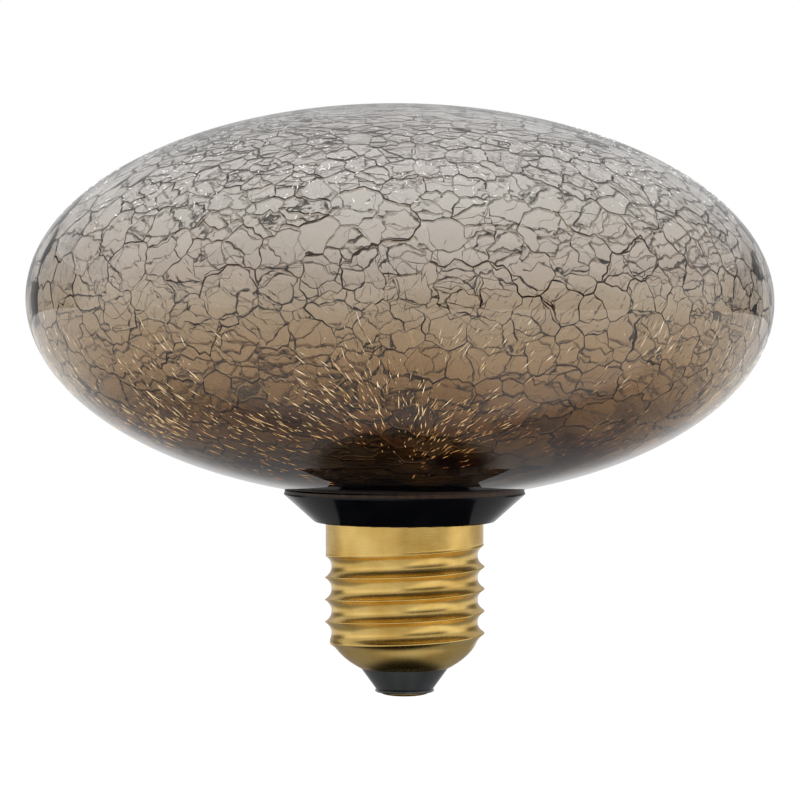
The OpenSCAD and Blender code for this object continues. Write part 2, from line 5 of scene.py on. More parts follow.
import bmesh
import bpy
import numpy as np
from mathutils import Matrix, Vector


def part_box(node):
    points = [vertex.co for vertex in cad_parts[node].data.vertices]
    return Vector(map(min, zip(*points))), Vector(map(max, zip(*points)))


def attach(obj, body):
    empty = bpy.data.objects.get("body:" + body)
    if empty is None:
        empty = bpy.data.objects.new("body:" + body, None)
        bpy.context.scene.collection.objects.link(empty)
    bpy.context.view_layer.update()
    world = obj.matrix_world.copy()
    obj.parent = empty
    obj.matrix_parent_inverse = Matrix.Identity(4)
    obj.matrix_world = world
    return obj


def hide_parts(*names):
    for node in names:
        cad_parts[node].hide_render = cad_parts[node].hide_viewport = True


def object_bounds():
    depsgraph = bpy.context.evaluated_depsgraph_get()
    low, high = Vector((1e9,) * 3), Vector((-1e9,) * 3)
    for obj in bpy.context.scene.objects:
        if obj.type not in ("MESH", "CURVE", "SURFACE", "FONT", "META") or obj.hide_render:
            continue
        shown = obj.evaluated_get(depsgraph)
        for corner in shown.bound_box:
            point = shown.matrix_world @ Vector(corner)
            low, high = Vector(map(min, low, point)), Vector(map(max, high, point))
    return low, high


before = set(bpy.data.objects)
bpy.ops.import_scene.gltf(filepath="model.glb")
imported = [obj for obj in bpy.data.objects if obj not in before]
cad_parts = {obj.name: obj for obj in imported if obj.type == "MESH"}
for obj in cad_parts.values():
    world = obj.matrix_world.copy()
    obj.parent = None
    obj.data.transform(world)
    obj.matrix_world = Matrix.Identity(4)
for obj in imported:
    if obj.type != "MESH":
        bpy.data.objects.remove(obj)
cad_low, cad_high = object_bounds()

bl_info = {
    "name": "Crackle-glass lamp",
    "version": (1, 0, 0),
    "blender": (4, 5, 0),
    "location": "3D View > Sidebar > Lamp",
    "description": "Blown crackle glass, rolled screw cap, LED module and studio of a lamp",
    "category": "Object",
}

MM = 0.001
UP = np.array([0.0, 0.0, 1.0])

glass_low, glass_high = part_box("glass_bulb")
shell_low, shell_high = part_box("screw_shell")

# Outside radius of the glass neck, as the collar's cone leaves it
NECK_R = 15.9 * MM
# Radius over the crests of the thread
CREST_R = 13.075 * MM


# ---------------------------------------------------------------- settings


def length(name, text, value):
    return bpy.props.FloatProperty(name=name, description=text, default=value, unit="LENGTH")


def number(name, text, value):
    return bpy.props.FloatProperty(name=name, description=text, default=value)


def count(name, text, value):
    return bpy.props.IntProperty(name=name, description=text, default=value)


def linear(hexa):
    """An sRGB hex colour as linear red, green, blue and alpha."""
    parts = [int(hexa[i:i + 2], 16) / 255 for i in (1, 3, 5)]
    return (*(v / 12.92 if v <= 0.04045 else ((v + 0.055) / 1.055) ** 2.4 for v in parts), 1.0)


def colour(name, text, hexa):
    return bpy.props.FloatVectorProperty(
        name=name, description=text, default=linear(hexa), size=4, subtype="COLOR", min=0, max=1)


class GlassSettings(bpy.types.PropertyGroup):
    crown: length("Crown", "Height of the crown above the widest level", 32.05 * MM)
    belly: length("Belly", "Depth of the lower half, were it not cut by the neck", 32.6 * MM)
    wall: length("Wall", "Wall of the blown glass", 1.5 * MM)
    neck_wall: length("Neck wall", "Wall of the neck, on the radius", 1.5 * MM)
    lean: number("Lean", "Slope of the blown body on its neck, towards +X", -0.0066)
    uneven: length("Unevenness", "How far the hand-blown outside wanders", 0.05 * MM)
    cell: length("Cell", "Usual width of a cell of crackle", 5.5 * MM)
    pillow: length("Pillow", "How far a cell's middle swells inwards", 0.03 * MM)
    tilt: number("Tilt", "Usual slope of a cell's inside face", 0.009)
    lip: length("Lip", "Width of a cell's broken edge", 0.09 * MM)
    groove: length("Groove", "Depth of the line between two cells", 0.02 * MM)
    crack: length("Crack", "Usual width of a fissure", 0.15 * MM)
    crack_depth: length("Crack depth", "How far a fissure runs into the wall", 0.16 * MM)
    seed: count("Seed", "Seed of the crackle", 11)
    # Tones of the painted shade inside the fissures
    fissure_pale: colour("Fissure, pale", "Palest tone inside a fissure", "#644022")
    fissure_deep: colour("Fissure, deep", "Deepest tone inside a fissure", "#331a0b")


class CapSettings(bpy.types.PropertyGroup):
    pitch: length("Pitch", "Thread pitch, seven turns to the inch", 3.629 * MM)
    depth: length("Depth", "Depth of the rolled thread", 1.1 * MM)
    step: length("Step", "Step from crests to the plain skirt, on the radius", 0.175 * MM)
    first_crest: length("First crest", "Height of the lowest crest at +X", 10.28 * MM)
    sheet: length("Sheet", "Thickness of the brass sheet", 0.3 * MM)
    skirt: length("Skirt", "Usual length of the plain skirt", 4.3 * MM)
    columns: count("Columns", "Steps round the shell", 144)
    rows: count("Rows", "Steps along one pitch", 26)
    brass: colour("Brass", "Clean brass of the screw shell", "#ecc879")
    stained: colour("Stained brass", "Brass where it is faintly stained", "#d3ab5a")
    insulator: colour("Insulator", "Pressed black glass of the insulator", "#14171a")
    collar: colour("Collar", "Moulded black of the collar", "#0a0b0f")


class StudioSettings(bpy.types.PropertyGroup):
    drop: length("Floor", "How far the floor lies below the lamp", 60 * MM)
    focal: number("Lens", "Focal length of the lens in mm", 200.0)
    margin: number("Margin", "Width of the view over the width of the lamp", 1.0713)
    elevation: bpy.props.FloatProperty(
        name="Elevation", description="How far the camera looks down",
        default=math.radians(2.0), subtype="ANGLE")
    soft: number("Soft light", "Strength of the room's light on matt surfaces", 0.6)


# ---------------------------------------------------------------- helpers


def ramp_tone(tone):
    """A ramp's colour from a hex value, a grey between 0 and 1, or a linear colour."""
    if isinstance(tone, str):
        return linear(tone)
    return (tone, tone, tone, 1.0) if isinstance(tone, float) else tuple(tone)


def node(tree, kind, inputs=None, stops=None, **settings):
    """Adds a node, applies its settings, and sets or links its inputs."""
    made = tree.nodes.new(kind)
    for name, value in settings.items():
        setattr(made, name, value)
    if stops:
        elements = made.color_ramp.elements
        while len(elements) < len(stops):
            elements.new(0.5)
        # Places first: a moved element changes the order of the ones after it
        for element, (place, _) in zip(elements, stops):
            element.position = place
        for element, (_, tone) in zip(elements, stops):
            element.color = ramp_tone(tone)
    for key, value in (inputs or {}).items():
        socket = made.inputs[key]
        if isinstance(value, bpy.types.NodeSocket):
            tree.links.new(value, socket)
        else:
            socket.default_value = value
    return made


def worked_out(tree, known, rows):
    """Adds the nodes of sums. A row is a result's name, a value, and what is done to it in turn.

    A word in capitals is an operation; what follows it are the names or numbers it works with.
    """
    ranges = ("Value", "From Min", "From Max", "To Min", "To Max")
    for name, value, *rest in rows:
        value = known.get(value, value)
        while rest:
            operation, terms = rest.pop(0), [value]
            while rest and not str(rest[0]).isupper():
                term = rest.pop(0)
                terms.append(known.get(term, term))
            if operation in ("LINEAR", "SMOOTHSTEP"):
                made = node(tree, "ShaderNodeMapRange", dict(zip(ranges, terms)),
                            interpolation_type=operation)
            else:
                made = node(tree, "ShaderNodeMath", dict(enumerate(terms)), operation=operation)
            value = made.outputs[0]
        known[name] = value
    return known


def new_material(name):
    """An empty material and its tree."""
    made = bpy.data.materials.new(name)
    made.use_nodes = True
    made.node_tree.nodes.clear()
    return made, made.node_tree


def finish_material(made, tree, shader):
    """Links the shader to the material's output."""
    node(tree, "ShaderNodeOutputMaterial", {"Surface": shader})
    return made


def new_object(name, mesh):
    """An object of the scene, at the origin."""
    made = bpy.data.objects.new(name, mesh)
    bpy.context.scene.collection.objects.link(made)
    return made


def new_mesh(name, points, faces, material=None, smooth=True):
    """A mesh from a point array in metres and a list of faces."""
    mesh = bpy.data.meshes.new(name)
    mesh.from_pydata([tuple(p) for p in points], [], [tuple(int(i) for i in f) for f in faces])
    mesh.update()
    if smooth:
        mesh.shade_smooth()
    if material:
        mesh.materials.append(material)
    return mesh


def unit(v):
    """Arrows of length 1."""
    return v / np.maximum(np.linalg.norm(v, axis=-1, keepdims=True), 1e-12)


def ease(low, high, x):
    """A smooth rise from 0 at low to 1 at high."""
    t = np.clip((x - low) / (high - low), 0, 1)
    return t * t * (3 - 2 * t)


# ---------------------------------------------------------------- the blown form


class BlownForm:
    """The flattened ball that the glass is blown to, as directions from its middle."""

    def __init__(self, glass):
        self.radius = (glass_high.x - glass_low.x) / 2
        self.offset = (glass_high.x + glass_low.x) / 2
        self.crown = glass.crown
        self.belly = glass.belly
        self.middle = glass_high.z - glass.crown
        self.wall = glass.wall
        self.lean = glass.lean
        self.foot = glass_low.z
        self.neck = NECK_R
        self.bore = NECK_R - glass.neck_wall

    def axes(self, d, inset):
        """Half axes of the form in each direction, a distance inside its surface."""
        upright = np.where(d[..., 2] >= 0, self.crown, self.belly) - inset
        flat = self.radius - inset
        return np.stack(np.broadcast_arrays(flat, flat, upright), axis=-1)

    def place(self, d, inset=0.0):
        """Points on the form, a distance inside its outer surface."""
        p = d * self.axes(d, inset)
        r = np.hypot(p[..., 0], p[..., 1])
        free = ease(self.neck, 2 * self.neck, r) + (d[..., 2] > 0)
        free = np.minimum(free, 1)
        p[..., 2] += self.middle + free * self.lean * p[..., 0]
        p[..., 0] += free * self.offset
        return p

    def normal(self, d):
        """Outward normals in each direction."""
        return unit(d / self.axes(d, 0.0))

    def normal_at(self, p, inset):
        """Outward normals at points that lie a distance inside the surface."""
        x, r = p[:, 0] - self.offset, np.hypot(p[:, 0], p[:, 1])
        free = np.minimum(ease(self.neck, 2 * self.neck, r) + (p[:, 2] > self.middle), 1)
        flat = np.stack([x, p[:, 1], p[:, 2] - self.middle - free * self.lean * x], axis=1)
        return self.normal(unit(flat / self.axes(flat, inset)))

    @staticmethod
    def patches(plain):
        """Size of the crackle near points on the undistorted form, about 1."""
        rng = np.random.default_rng(4)
        waves, phase = unit(rng.normal(size=(7, 3))), rng.uniform(0, 2 * math.pi, 7)
        drift = np.sin(plain @ waves.T / (10 * MM) + phase).mean(axis=-1)
        size = np.clip(1 + 0.9 * drift, 0.5, 1.6)
        # Finer towards the crown
        return size * (1 - 0.3 * ease(14 * MM, 26 * MM, plain[..., 2]))

    def shift(self, d, side, off):
        """Directions moved sideways over the undistorted form."""
        p = d * self.axes(d, 0.0) + side * np.reshape(off, (-1, 1))
        return unit(p / self.axes(p, 0.0))


def rings_down(turns, levels):
    """Directions in rings, one for each level, from the first angle of elevation on."""
    around = np.arange(turns) * 2 * math.pi / turns
    for a in levels:
        yield np.stack([np.cos(a) * np.cos(around), np.cos(a) * np.sin(around),
                        np.full(turns, np.sin(a))], axis=-1)


# ---------------------------------------------------------------- the crackle

# Places that are tried for the first cells' middles
TRIES = 30000
# Step along a crack, and along a hairline
CRACK_STEP, HAIR_STEP = 0.9 * MM, 1.0 * MM
# Widest and deepest fissure, as multiples of the usual one
WIDEST, DEEPEST = 1.9, 1.7
# Share of the fissures with a second one beside them, and how far that one may bow out
DOUBLED, BOW = 0.22, 0.8 * MM
# Heights between which the crown's way of gaping sets in
CROWN_LOW, CROWN_HIGH = 68 * MM, 82 * MM
# Narrowest cell whose inside face is still a whole lens
NARROWEST_LENS = 2.5 * MM
# Edges flatter than this are shaded as one surface, so that only the lips show as edges
SMOOTH_BELOW = math.radians(7)


def crackle_points(form, glass, rng):
    """Directions of the first cells' middles, spread unevenly over the form."""
    tries = unit(rng.normal(size=(TRIES, 3)))
    plain = tries * form.axes(tries, 0.0)
    reach = 1.5 * glass.cell * form.patches(plain) * rng.uniform(0.45, 1.25, len(tries))
    kept = np.empty((0, 3))
    chosen = []
    for i, p in enumerate(plain):
        if len(chosen) and ((kept - p) ** 2).sum(axis=1).min() < reach[i] ** 2:
            continue
        kept = np.vstack([kept, p])
        chosen.append(i)
    return tries[chosen]


def cell_triangles(form, middles):
    """Neighbouring cells as triangles, turned until none is needlessly thin."""
    made = bmesh.new()
    for i, d in enumerate(middles):
        made.verts.new(d).index = i
    bmesh.ops.convex_hull(made, input=made.verts)
    made.normal_update()
    triangles = [[v.index for v in f.verts] for f in made.faces]
    made.free()
    p = middles * form.axes(middles, 0.0)
    for k, (a, b, c) in enumerate(triangles):
        if np.dot(np.cross(p[b] - p[a], p[c] - p[a]), p[a]) < 0:
            triangles[k] = [a, c, b]

    def angle(at, u, v):
        x, y = p[u] - p[at], p[v] - p[at]
        return math.atan2(np.linalg.norm(np.cross(x, y)), np.dot(x, y))

    for _ in range(12):
        sides = {}
        for k, (a, b, c) in enumerate(triangles):
            sides[a, b], sides[b, c], sides[c, a] = (k, c), (k, a), (k, b)
        turned, touched = 0, set()
        for (a, b), (k, c) in list(sides.items()):
            m, d = sides[b, a]
            if a > b or k in touched or m in touched or (c, d) in sides or (d, c) in sides:
                continue
            if angle(c, a, b) + angle(d, a, b) > math.pi + 0.02:
                triangles[k], triangles[m] = [c, a, d], [d, b, c]
                touched |= {k, m}
                turned += 1
        if not turned:
            break
    return np.array(triangles)


def junctions(form, middles, triangles):
    """Directions of the points where three cells meet."""
    p = middles * form.axes(middles, 0.0)
    a, b, c = (p[triangles[:, i]] for i in range(3))
    ab, ac = b - a, c - a
    across = np.cross(ab, ac)
    squared = (across ** 2).sum(axis=1, keepdims=True)
    lift = (np.cross(across, ab) * (ac ** 2).sum(axis=1, keepdims=True)
            + np.cross(ac, across) * (ab ** 2).sum(axis=1, keepdims=True)) / (2 * squared)
    middle = (a + b + c) / 3
    centre = a + lift
    off = centre - middle
    far = np.linalg.norm(off, axis=1, keepdims=True)
    limit = 0.5 * np.linalg.norm(ab, axis=1, keepdims=True)
    centre = middle + 0.8 * off * np.minimum(1, limit / np.maximum(far, 1e-9))
    return unit(centre / form.axes(centre, 0.0))


def wander(form, start, end, rng, step, bend=0.055, fringe=0.05):
    """A wobbling path of directions between two directions on the form."""
    p, q = start * form.axes(start, 0.0), end * form.axes(end, 0.0)
    span = np.linalg.norm(q - p)
    parts = max(2, int(round(span / step)))
    s = np.linspace(0, 1, parts + 1)
    line = p + (q - p) * s[:, None]
    side = unit(np.cross(form.normal(start), q - p))
    sway = sum(rng.normal() * bend / k * np.sin(math.pi * k * s) for k in (1, 2, 3))
    sway = sway + rng.normal(size=parts + 1) * fringe * 2 * np.sqrt(s * (1 - s))
    line = line + side * (sway * span)[:, None]
    path = unit(line / form.axes(line, 0.0))
    path[0], path[-1] = start, end
    return path


class Crackle:
    """Cells and fissures of the glass: first ones in a net, later ones across its cells."""

    def __init__(self, form, glass):
        rng = np.random.default_rng(glass.seed)
        middles = crackle_points(form, glass, rng)
        triangles = cell_triangles(form, middles)
        self.form, self.glass = form, glass
        self.spots = list(junctions(form, middles, triangles))
        self.cracks, self.cells = [], []
        sides = {}
        for k, (a, b, c) in enumerate(triangles):
            sides[a, b], sides[b, c], sides[c, a] = k, k, k
        shared = {(a, b): self.run(k, sides[b, a], rng) for (a, b), k in sides.items() if a < b}
        self.firsts = len(self.cracks)
        following = {}
        for (a, b), k in sides.items():
            following.setdefault(a, {})[k] = b
        for a, around in following.items():
            k = first = next(iter(around))
            ring = []
            while True:
                b = around[k]
                path = shared[min(a, b), max(a, b)]
                ring += (path if a < b else path[::-1])[:-1]
                k = sides[b, a]
                if k == first:
                    break
            self.split(ring, rng)
        self.spots = np.array(self.spots)
        self.strengths(rng)
        self.minor(rng)

    def run(self, start, end, rng):
        """A crack between two spots, as the list of spots along it."""
        path = wander(self.form, self.spots[start], self.spots[end], rng, CRACK_STEP)
        first = len(self.spots)
        self.spots += list(path[1:-1])
        self.cracks.append([start, *range(first, len(self.spots)), end])
        return self.cracks[-1]

    def split(self, ring, rng):
        """Breaks a cell across, again and again, until its parts are small enough."""
        d = np.array([self.spots[i] for i in ring])
        p = d * self.form.axes(d, 0.0)
        middle = p.mean(axis=0)
        fans = np.cross(p - middle, np.roll(p, -1, axis=0) - middle)
        area = np.linalg.norm(fans.sum(axis=0)) / 2
        enough = self.glass.cell * float(self.form.patches(middle)) * rng.uniform(0.6, 1.5)
        n = len(ring)
        if area < enough ** 2 or n < 10:
            self.cells.append(ring)
            return
        best, best_score = None, 0
        for i, j in rng.integers(n, size=(14, 2)):
            i, j = min(i, j), max(i, j)
            near = min(j - i, n - j + i)
            if near < 4:
                continue
            chord = p[i] - p[j]
            level = 1 - abs(chord[2]) / np.linalg.norm(chord)
            score = near / n / np.linalg.norm(chord) * (0.4 + level)
            if score > best_score:
                best, best_score = (int(i), int(j)), score
        if best is None:
            self.cells.append(ring)
            return
        i, j = best
        path = self.run(ring[i], ring[j], rng)
        self.split(ring[i:j + 1] + path[-2:0:-1], rng)
        self.split(ring[j:] + ring[:i + 1] + path[1:-1], rng)

    def strengths(self, rng):
        """Widths of the fissures: a few long ones run on through many junctions."""
        total = len(self.cracks)
        self.strength = np.exp(rng.normal(-0.3, 0.5, total))
        self.strength[rng.uniform(size=total) < 0.08] = 0
        self.strength[self.firsts:] *= 0.75
        self.strength = np.minimum(self.strength, WIDEST)
        meeting = {}
        for i, crack in enumerate(self.cracks[:self.firsts]):
            for end in (crack[0], crack[-1]):
                meeting.setdefault(end, []).append(i)
        place = self.form.place(self.spots)
        for _ in range(self.firsts // 22):
            i = int(rng.integers(self.firsts))
            at = self.cracks[i][0]
            run = rng.uniform(1.3, WIDEST)
            for _ in range(int(rng.integers(3, 10))):
                self.strength[i] = max(self.strength[i], run * rng.uniform(0.7, 1.2))
                after = self.cracks[i][-1] if at == self.cracks[i][0] else self.cracks[i][0]
                ahead = unit(place[after] - place[at])
                best, best_dot = None, -2
                for j in meeting[after]:
                    if j != i:
                        ends = self.cracks[j][0], self.cracks[j][-1]
                        far = ends[1] if ends[0] == after else ends[0]
                        dot = float(np.dot(unit(place[far] - place[after]), ahead))
                        if dot > best_dot:
                            best, best_dot = j, dot
                if best is None:
                    break
                i, at = best, after

    def minor(self, rng):
        """Hairlines: some cross a cell from side to side, some die out inside it."""
        self.hairs = []
        for ring in self.cells:
            middle = unit(self.spots[ring].mean(axis=0))
            high = 3 * float(ease(0.5, 0.85, middle[2]))
            for _ in range(int(rng.integers(0, 4) + high * rng.uniform())):
                i = int(rng.integers(len(ring)))
                start = self.spots[ring[i]]
                if rng.uniform() < 0.5:
                    ends = (i + (len(ring) * rng.uniform(0.25, 0.75, 3)).astype(int)) % len(ring)
                    j = min(ends, key=lambda k: abs(self.spots[ring[k]][2] - start[2]))
                    end, through = self.spots[ring[j]], True
                else:
                    mixed = start + (middle - start) * rng.uniform(0.5, 1.4)
                    end, through = unit(mixed + rng.normal(size=3) * 0.01), False
                if np.linalg.norm(end - start) > 0.01:
                    path = wander(self.form, start, end, rng, HAIR_STEP, 0.1, 0.03)
                    self.hairs.append((path, through, rng.uniform(0.4, 1.0)))


crackle_made = {}


def crackle(glass):
    """The crackle for these settings, worked out once."""
    key = (glass.seed, glass.cell, glass.crown, glass.belly, glass.wall, glass.neck_wall,
           glass.lean)
    if key not in crackle_made:
        crackle_made[key] = Crackle(BlownForm(glass), glass)
    return crackle_made[key]


# ---------------------------------------------------------------- materials


def object_height(tree):
    """Places on the lamp, and their height over its lowest point, in metres."""
    place = node(tree, "ShaderNodeTexCoord").outputs["Object"]
    return place, node(tree, "ShaderNodeSeparateXYZ", {0: place}).outputs["Z"]


# Tint of one wall by height in mm: lacquer sprayed from smoke grey down to dark amber
WALL_TINTS = [
    (36.0, "#584838"), (39.4, "#6a5541"), (41.9, "#8a6e4d"), (44.3, "#937553"), (46.8, "#9b8061"),
    (50.0, "#a89172"), (53.3, "#b8a48b"), (56.6, "#bdab93"), (59.9, "#c0b19d"), (63.1, "#c6baaa"),
    (66.4, "#ccc3b7"), (69.7, "#d2cac2"), (72.9, "#d7d1ca"), (76.2, "#dcd7d1"), (79.5, "#dfdcd7"),
    (86.0, "#e6e3e0"), (96.8, "#e2dfdc"),
]


def crackle_glass():
    # Soda-lime glass, blown and quenched: clear and glossy, tinted by a lacquer that
    # shades from smoke grey at the crown to dark amber at the neck
    made, tree = new_material("blown_lacquered_glass")
    place, z = object_height(tree)
    low, high = WALL_TINTS[0][0], WALL_TINTS[-1][0]
    drift = node(tree, "ShaderNodeTexNoise", {
        "Vector": place, "Scale": 1 / (22 * MM), "Detail": 2.0})
    moved = node(tree, "ShaderNodeMath", {0: drift.outputs[0], 1: 5 * MM, 2: z},
                 operation="MULTIPLY_ADD").outputs[0]
    share = node(tree, "ShaderNodeMapRange", {
        "Value": moved, "From Min": (low + 2.5) * MM, "From Max": (high + 2.5) * MM}).outputs[0]
    stops = [((h - low) / (high - low), tone) for h, tone in WALL_TINTS]
    tint = node(tree, "ShaderNodeValToRGB", {0: share}, stops).outputs[0]
    # The lacquer has darker, rusty patches where it ran towards the neck
    rust = node(tree, "ShaderNodeTexNoise", {
        "Vector": place, "Scale": 1 / (9 * MM), "Detail": 3.0})
    band = node(tree, "ShaderNodeMapRange", {
        "Value": z, "From Min": 50 * MM, "From Max": 44 * MM}, interpolation_type="SMOOTHSTEP")
    spots = node(tree, "ShaderNodeMapRange", {
        "Value": rust.outputs[0], "From Min": 0.5, "From Max": 0.62}).outputs[0]
    mask = node(tree, "ShaderNodeMath", {0: spots, 1: band.outputs[0]}, operation="MULTIPLY")
    rusty = node(tree, "ShaderNodeMix", {0: mask.outputs[0], 6: tint, 7: linear("#8a5a34")},
                 data_type="RGBA", blend_type="MULTIPLY").outputs[2]
    ripple = node(tree, "ShaderNodeTexNoise", {
        "Vector": place, "Scale": 1 / (3 * MM), "Detail": 2.0})
    bump = node(tree, "ShaderNodeBump", {
        "Strength": 0.25, "Distance": 0.03 * MM, "Height": ripple.outputs[0]}).outputs[0]
    shader = node(tree, "ShaderNodeBsdfPrincipled", {
        "Base Color": rusty, "Roughness": 0.015, "IOR": 1.5, "Transmission Weight": 1.0,
        "Normal": bump})
    return finish_material(made, tree, shader.outputs[0])


def fissure_shadow(glass):
    # The dark inside of a fissure, a painted shade for the light the crack turns away:
    # brown-black, matt, with no light coming through
    made, tree = new_material("fissure_shadow")
    place = node(tree, "ShaderNodeTexCoord").outputs["Object"]
    mottle = node(tree, "ShaderNodeTexNoise", {
        "Vector": place, "Scale": 1 / (2.5 * MM), "Detail": 2.0})
    tone = node(tree, "ShaderNodeValToRGB", {0: mottle.outputs[0]},
                [(0.35, glass.fissure_deep), (0.65, glass.fissure_pale)]).outputs[0]
    shader = node(tree, "ShaderNodeBsdfPrincipled", {
        "Base Color": tone, "Roughness": 0.7, "Specular IOR Level": 0.1})
    return finish_material(made, tree, shader.outputs[0])


def fissure_glint():
    # Painted glints: a frosted fracture face that glows by its own emission, a painted
    # highlight in place of the room's light thrown back: white at the crown,
    # gold through the amber lower down, orange at the neck
    made, tree = new_material("painted_glint_faces")
    place, z = object_height(tree)
    mottle = node(tree, "ShaderNodeTexNoise", {
        "Vector": place, "Scale": 1 / (2 * MM), "Detail": 2.0})
    moved = node(tree, "ShaderNodeMath", {0: mottle.outputs[0], 1: 16 * MM, 2: z},
                 operation="MULTIPLY_ADD").outputs[0]
    share = node(tree, "ShaderNodeMapRange", {
        "Value": moved, "From Min": 44 * MM, "From Max": 86 * MM}).outputs[0]
    tone = node(tree, "ShaderNodeValToRGB", {0: share}, [
        (0.0, "#a8632c"), (0.12, "#dba35a"), (0.3, "#f3d6a0"), (0.6, "#fff6e2"),
        (0.8, "#ffffff")]).outputs[0]
    # The emission is the painted highlight: the faces glow whatever light falls on them
    shader = node(tree, "ShaderNodeBsdfPrincipled", {
        "Base Color": tone, "Roughness": 0.35, "Emission Color": tone, "Emission Strength": 0.85})
    return finish_material(made, tree, shader.outputs[0])


def rolled_brass(name, pale, deep, roughness):
    # Bright rolled brass: lacquered sheet with fine marks round the axis and faint stains.
    # The marks of a real roll are too fine to show, so they are drawn 0.1 mm high
    made, tree = new_material(name)
    place = node(tree, "ShaderNodeTexCoord").outputs["Object"]
    stretched = node(tree, "ShaderNodeMapping", {"Vector": place, "Scale": (30, 30, 1600)})
    marks = node(tree, "ShaderNodeTexNoise", {
        "Vector": stretched.outputs[0], "Scale": 6.0, "Detail": 3.0}).outputs[0]
    stain = node(tree, "ShaderNodeTexNoise", {
        "Vector": place, "Scale": 1 / (5 * MM), "Detail": 4.0})
    tone = node(tree, "ShaderNodeValToRGB", {0: stain.outputs[0]},
                [(0.3, deep), (0.62, pale)]).outputs[0]
    rough = node(tree, "ShaderNodeMapRange", {
        "Value": marks, "To Min": roughness - 0.05, "To Max": roughness + 0.07}).outputs[0]
    bump = node(tree, "ShaderNodeBump", {
        "Strength": 0.12, "Distance": 0.02 * MM, "Height": marks}).outputs[0]
    shader = node(tree, "ShaderNodeBsdfPrincipled", {
        "Base Color": tone, "Roughness": rough, "Metallic": 1.0, "Normal": bump})
    return finish_material(made, tree, shader.outputs[0])


def solid_finish(name, pale, deep, grain, roughness, spread, bump, metallic=0.0, **more):
    """A finish whose tone, gloss and surface vary over its grains.

    The size of a grain and the height of the bump are real ones, in mm. The spread is how far
    the roughness goes up and down.
    """
    made, tree = new_material(name)
    place = node(tree, "ShaderNodeTexCoord").outputs["Object"]
    grains = node(tree, "ShaderNodeTexNoise", {
        "Vector": place, "Scale": 1 / (grain * MM), "Detail": 3.0}).outputs[0]
    tone = node(tree, "ShaderNodeValToRGB", {0: grains}, [(0.35, deep), (0.65, pale)]).outputs[0]
    rough = node(tree, "ShaderNodeMapRange", {
        "Value": grains, "To Min": roughness - spread, "To Max": roughness + spread}).outputs[0]
    raised = node(tree, "ShaderNodeBump", {
        "Strength": 0.4, "Distance": bump * MM, "Height": grains}).outputs[0]
    shader = node(tree, "ShaderNodeBsdfPrincipled", {
        "Base Color": tone, "Roughness": rough, "Metallic": metallic, "Normal": raised, **more})
    return finish_material(made, tree, shader.outputs[0])


def give(material, *names):
    """Puts a material on CAD nodes."""
    for name in names:
        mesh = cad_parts[name].data
        mesh.materials.clear()
        mesh.materials.append(material)


# ---------------------------------------------------------------- glass


